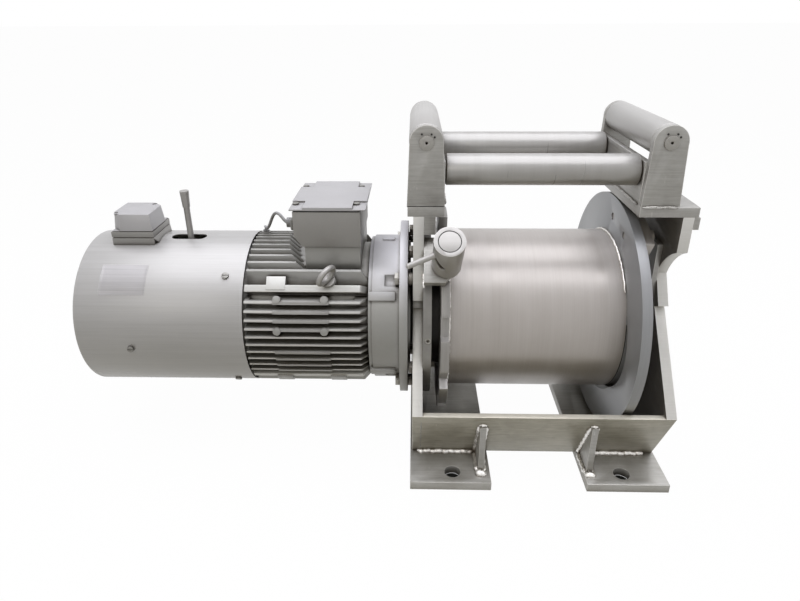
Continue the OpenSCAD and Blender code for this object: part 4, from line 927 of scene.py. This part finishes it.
def gusset_beads(name, x, word, side, leg):
    """The four kinds of bead that hold one gusset to its foot and its rail."""
    for edge, far in ((-GUSSET_HALF, "in"), (GUSSET_HALF, "out")):
        foot = [(x + edge, side * y, FOOT_Z + 0.001) for y in (RAIL_Y + 0.004, GUSSET_END - 0.001)]
        bead(f"weld_gusset_foot_{name}_{far}_{word}", foot, leg * 0.8, x * 70 + edge * 900 + side)
        top = GUSSET_TOP - 0.003
        up = [(x + edge, side * (RAIL_Y + 0.001), FOOT_Z + 0.002),
              (x + edge, side * (RAIL_Y + 0.001 + (top - FOOT_Z) * RAIL_LEAN), top)]
        bead(f"weld_gusset_rail_{name}_{far}_{word}", up, leg * 0.75, x * 50 + edge * 500 + side)
    toe = [(x + across, side * (GUSSET_END + out), FOOT_Z + rise) for across, out, rise in (
        (-0.006, 0.0, 0.001), (-0.004, 0.003, 0.0015), (0.004, 0.003, 0.0015), (0.006, 0.0, 0.001))]
    bead(f"weld_gusset_toe_{name}_{word}", toe, leg * 1.25, x * 30 + side)
    head_y = RAIL_Y + (GUSSET_TOP - FOOT_Z) * RAIL_LEAN
    head = [(x + across, side * (head_y + out), GUSSET_TOP + rise) for across, out, rise in (
        (-0.005, -0.001, -0.001), (0.0, 0.0, 0.001), (0.005, -0.001, -0.001))]
    bead(f"weld_gusset_head_{name}_{word}", head, leg * 1.1, x * 20 + side)


class WINCH_OT_welds(bpy.types.Operator):
    """Lays the weld beads of the frame, the fairlead and the drum"""

    bl_idname = "winch.welds"
    bl_label = "Welds"

    def execute(self, context):
        leg = context.scene.winch_sizes.weld_leg
        for side, word in ((-1, "front"), (1, "rear")):
            for name, start, end in RAIL_WELDS:
                line = [(x, side * (RAIL_Y + 0.0028), FOOT_Z + 0.0016) for x in (start, end)]
                bead(f"weld_rail_{name}_{word}", line, leg, start * 90 + side, ripple=0.07)
            for name, x in GUSSETS:
                gusset_beads(name, x, word, side, leg)
            seam = [(PLATE_SEAM_X, side * (RAIL_Y + 0.0005 + up * RAIL_LEAN), FOOT_Z + 0.004 + up)
                    for up in (0.0, PLATE_SEAM_HEIGHT)]
            bead(f"weld_plate_seam_{word}", seam, leg * 0.3, 5.0 + side, material=DULL_WELD)
            for name, x in BRACKETS:
                if (name, word) == ("left", "front"):
                    continue  # this joint shows as a painted shadow of a gap in the bracket's finish
                line = [(x + end, side * BRACKET_Y, BRACKET_Z) for end in (-BRACKET_HALF, BRACKET_HALF)]
                bead(f"weld_bracket_{name}_{word}", line, leg * 0.42, x * 60 + side, material=DULL_WELD)
        for name, x, inward in BRACKET_INNER_FACES:
            line = [(x + inward * 0.0008, end, BRACKET_Z + 0.0005)
                    for end in (-BRACKET_INNER_END, BRACKET_INNER_END)]
            bead(f"weld_bracket_inboard_{name}", line, leg * 0.42, x * 40, material=DULL_WELD)
        bead("weld_barrel_flange", ring_points(*FLANGE_WELD), leg * 0.4, 2.0, on_drum=True, ripple=0.08)
        bead("weld_barrel_disc", ring_points(*DISC_WELD)[:-1], leg * 0.42, 3.0, on_drum=True, closed=True,
             ripple=0.08)
        bead("weld_lock_block", LOCK_BLOCK_WELD, leg * 0.45, 9.0)
        return {"FINISHED"}


# Stage
FLOOR_Z = -0.0006
CARD_SHADES = ((0.23, 0.20, 0.10), (0.27, 0.235, 0.13))
WHITE_PAPER = (0.97, 0.97, 0.97)
# Painted shadow on the floor under the bolt holes
HOLE_PAINTED_SHADOW = (0.02, 0.02, 0.018)
SURROUND_TINT = (1.0, 0.94, 0.82, 1.0)
LAMPS = {
    "overhead": ((-0.15, -0.05, 2.3), (-0.15, 0.0, 0.2), (3.4, 2.5), (0.955, 0.955, 1.0)),
    "front": ((-1.3, -2.4, 1.6), (-0.2, 0.0, 0.25), (1.6, 1.6), (1.0, 0.96, 0.88)),
    "right": ((2.4, -1.0, 1.3), (0.0, 0.0, 0.25), (1.4, 1.4), (1.0, 0.97, 0.92)),
}
CAMERA_PLACE = (-0.2026, -0.9425, 0.7084)
CAMERA_TURN = (0.0266, 0.4134, -0.0055)
CAMERA_LENS = 26.71
CAMERA_SHIFT = (0.0015, -0.0395)


def seen_share(tree):
    """One for rays of the camera, of mirrors and of clear things, and nought for rays that only light."""
    rays = tree.nodes.new("ShaderNodeLightPath")
    seen = Wire(tree, rays.outputs["Is Camera Ray"])
    for other in ("Is Glossy Ray", "Is Transmission Ray"):
        seen = seen.most(Wire(tree, rays.outputs[other]))
    return seen


def floor_paint(lift):
    """White paper to the eye and warm card to the light, with a painted shadow under the four bolt holes."""
    paint = Finish("floor_paper")
    seen = seen_share(paint.tree)
    cloud = paint.noise(3.0, detail=2.0)
    card = paint.ramp(cloud, list(zip((0.3, 0.7), CARD_SHADES)))
    x, y, _ = paint.axes()
    hole_x, hole_y, hole_radius = BOLT_HOLE
    # painted shadow on the floor under the bolt holes, kept dark also to the camera
    under_hole_shadow = distance(x.size() - hole_x, y.size() - hole_y) < hole_radius
    paper = paint.blend(under_hole_shadow, paint.blend(seen, card, WHITE_PAPER), HOLE_PAINTED_SHADOW)
    matt = paint.node("BsdfDiffuse", {}, {"Color": paper})
    glow = paint.node("Emission", {}, {"Color": (1.0, 1.0, 1.0), "Strength": 1.0})
    both = paint.node("MixShader", {}, {0: seen * lift * (1.0 - under_hole_shadow), 1: matt, 2: glow})
    output = paint.tree.nodes.new("ShaderNodeOutputMaterial")
    paint.tree.links.new(both.socket, output.inputs["Surface"])
    return paint.material


def plain_surround(strength):
    """White to the eye, and a weak warm light for the rest."""
    world = bpy.data.worlds.new("surround")
    world.use_nodes = True
    tree = world.node_tree
    tree.nodes.clear()
    seen = seen_share(tree)
    level = seen * (1.0 - strength) + strength
    back = tree.nodes.new("ShaderNodeBackground")
    tint = tree.nodes.new("ShaderNodeMix")
    tint.data_type = "RGBA"
    tree.links.new(seen.socket, tint.inputs[0])
    tint.inputs[6].default_value = SURROUND_TINT
    tint.inputs[7].default_value = (*PLAIN, 1.0)
    tree.links.new(tint.outputs[2], back.inputs["Color"])
    tree.links.new(level.socket, back.inputs["Strength"])
    output = tree.nodes.new("ShaderNodeOutputWorld")
    tree.links.new(back.outputs[0], output.inputs["Surface"])
    return world


def hang_lamp(name, power):
    """An area lamp at its place, turned to what it lights."""
    place, aim, size, colour = LAMPS[name]
    light = bpy.data.lights.new("lamp_" + name, "AREA")
    light.shape = "RECTANGLE"
    light.size, light.size_y = size
    light.energy = power
    light.color = colour
    lamp = bpy.data.objects.new("lamp_" + name, light)
    lamp.location = place
    lamp.rotation_euler = (Vector(aim) - Vector(place)).to_track_quat("-Z", "Y").to_euler()
    bpy.context.scene.collection.objects.link(lamp)


def set_camera():
    """The camera where the photo was taken from."""
    lens = bpy.data.cameras.new("camera")
    lens.lens = CAMERA_LENS
    lens.sensor_width = 36.0
    lens.shift_x, lens.shift_y = CAMERA_SHIFT
    lens.clip_start = 0.01
    camera = bpy.data.objects.new("camera", lens)
    yaw, tilt, roll = CAMERA_TURN
    ahead = Vector((-math.sin(yaw) * math.cos(tilt), math.cos(yaw) * math.cos(tilt), -math.sin(tilt)))
    across = ahead.cross(Vector((0, 0, 1))).normalized()
    above = across.cross(ahead)
    side = across * math.cos(roll) + above * math.sin(roll)
    top = above * math.cos(roll) - across * math.sin(roll)
    turn = Matrix((side, top, -ahead)).transposed().to_4x4()
    camera.matrix_world = Matrix.Translation(CAMERA_PLACE) @ turn
    bpy.context.scene.collection.objects.link(camera)
    bpy.context.scene.camera = camera


class WINCH_OT_stage(bpy.types.Operator):
    """Sets the floor, the soft lamps, the plain white surround and the camera"""

    bl_idname = "winch.stage"
    bl_label = "Stage"

    def execute(self, context):
        setting = context.scene.winch_stage
        bpy.ops.object.select_all(action="DESELECT")
        bpy.ops.mesh.primitive_plane_add(size=setting.floor_size, location=(0, 0, FLOOR_Z))
        floor = context.object
        floor.name = "floor"
        floor.data.materials.append(floor_paint(setting.floor_lift))
        context.scene.world = plain_surround(setting.surround)
        hang_lamp("overhead", setting.overhead)
        hang_lamp("front", setting.front)
        hang_lamp("right", setting.side)
        set_camera()
        context.scene.view_settings.view_transform = "Standard"
        return {"FINISHED"}


# Panel and order of the steps
class WINCH_PT_panel(bpy.types.Panel):
    """Lists the steps and their sizes"""

    bl_idname = "WINCH_PT_panel"
    bl_label = "Winch"
    bl_space_type = "VIEW_3D"
    bl_region_type = "UI"
    bl_category = "Winch"

    def draw(self, context):
        layout = self.layout
        for group in (context.scene.winch_sizes, context.scene.winch_stage):
            for name in group.bl_rna.properties.keys():
                if name not in ("rna_type", "name"):
                    layout.prop(group, name)
        for step in STEPS:
            layout.operator(step.bl_idname)


STEPS = (
    WINCH_OT_finishes,
    WINCH_OT_plates,
    WINCH_OT_turned,
    WINCH_OT_motor,
    WINCH_OT_terminal,
    WINCH_OT_label,
    WINCH_OT_cable,
    WINCH_OT_welds,
    WINCH_OT_stage,
)
GROUPS = {"winch_sizes": WinchSizes, "winch_stage": WinchStage}


def register():
    for group in GROUPS.values():
        bpy.utils.register_class(group)
    for step in STEPS:
        bpy.utils.register_class(step)
    bpy.utils.register_class(WINCH_PT_panel)
    for name, group in GROUPS.items():
        setattr(bpy.types.Scene, name, bpy.props.PointerProperty(type=group))


def unregister():
    for name in GROUPS:
        delattr(bpy.types.Scene, name)
    for step in (WINCH_PT_panel, *reversed(STEPS), *GROUPS.values()):
        bpy.utils.unregister_class(step)


def main():
    register()
    bpy.ops.winch.finishes()
    bpy.ops.winch.plates()
    bpy.ops.winch.turned()
    bpy.ops.winch.motor()
    bpy.ops.winch.terminal()
    bpy.ops.winch.label()
    bpy.ops.winch.cable()
    bpy.ops.winch.welds()
    bpy.ops.winch.stage()
    bpy.context.view_layer.update()


if __name__ == "__main__":
    main()
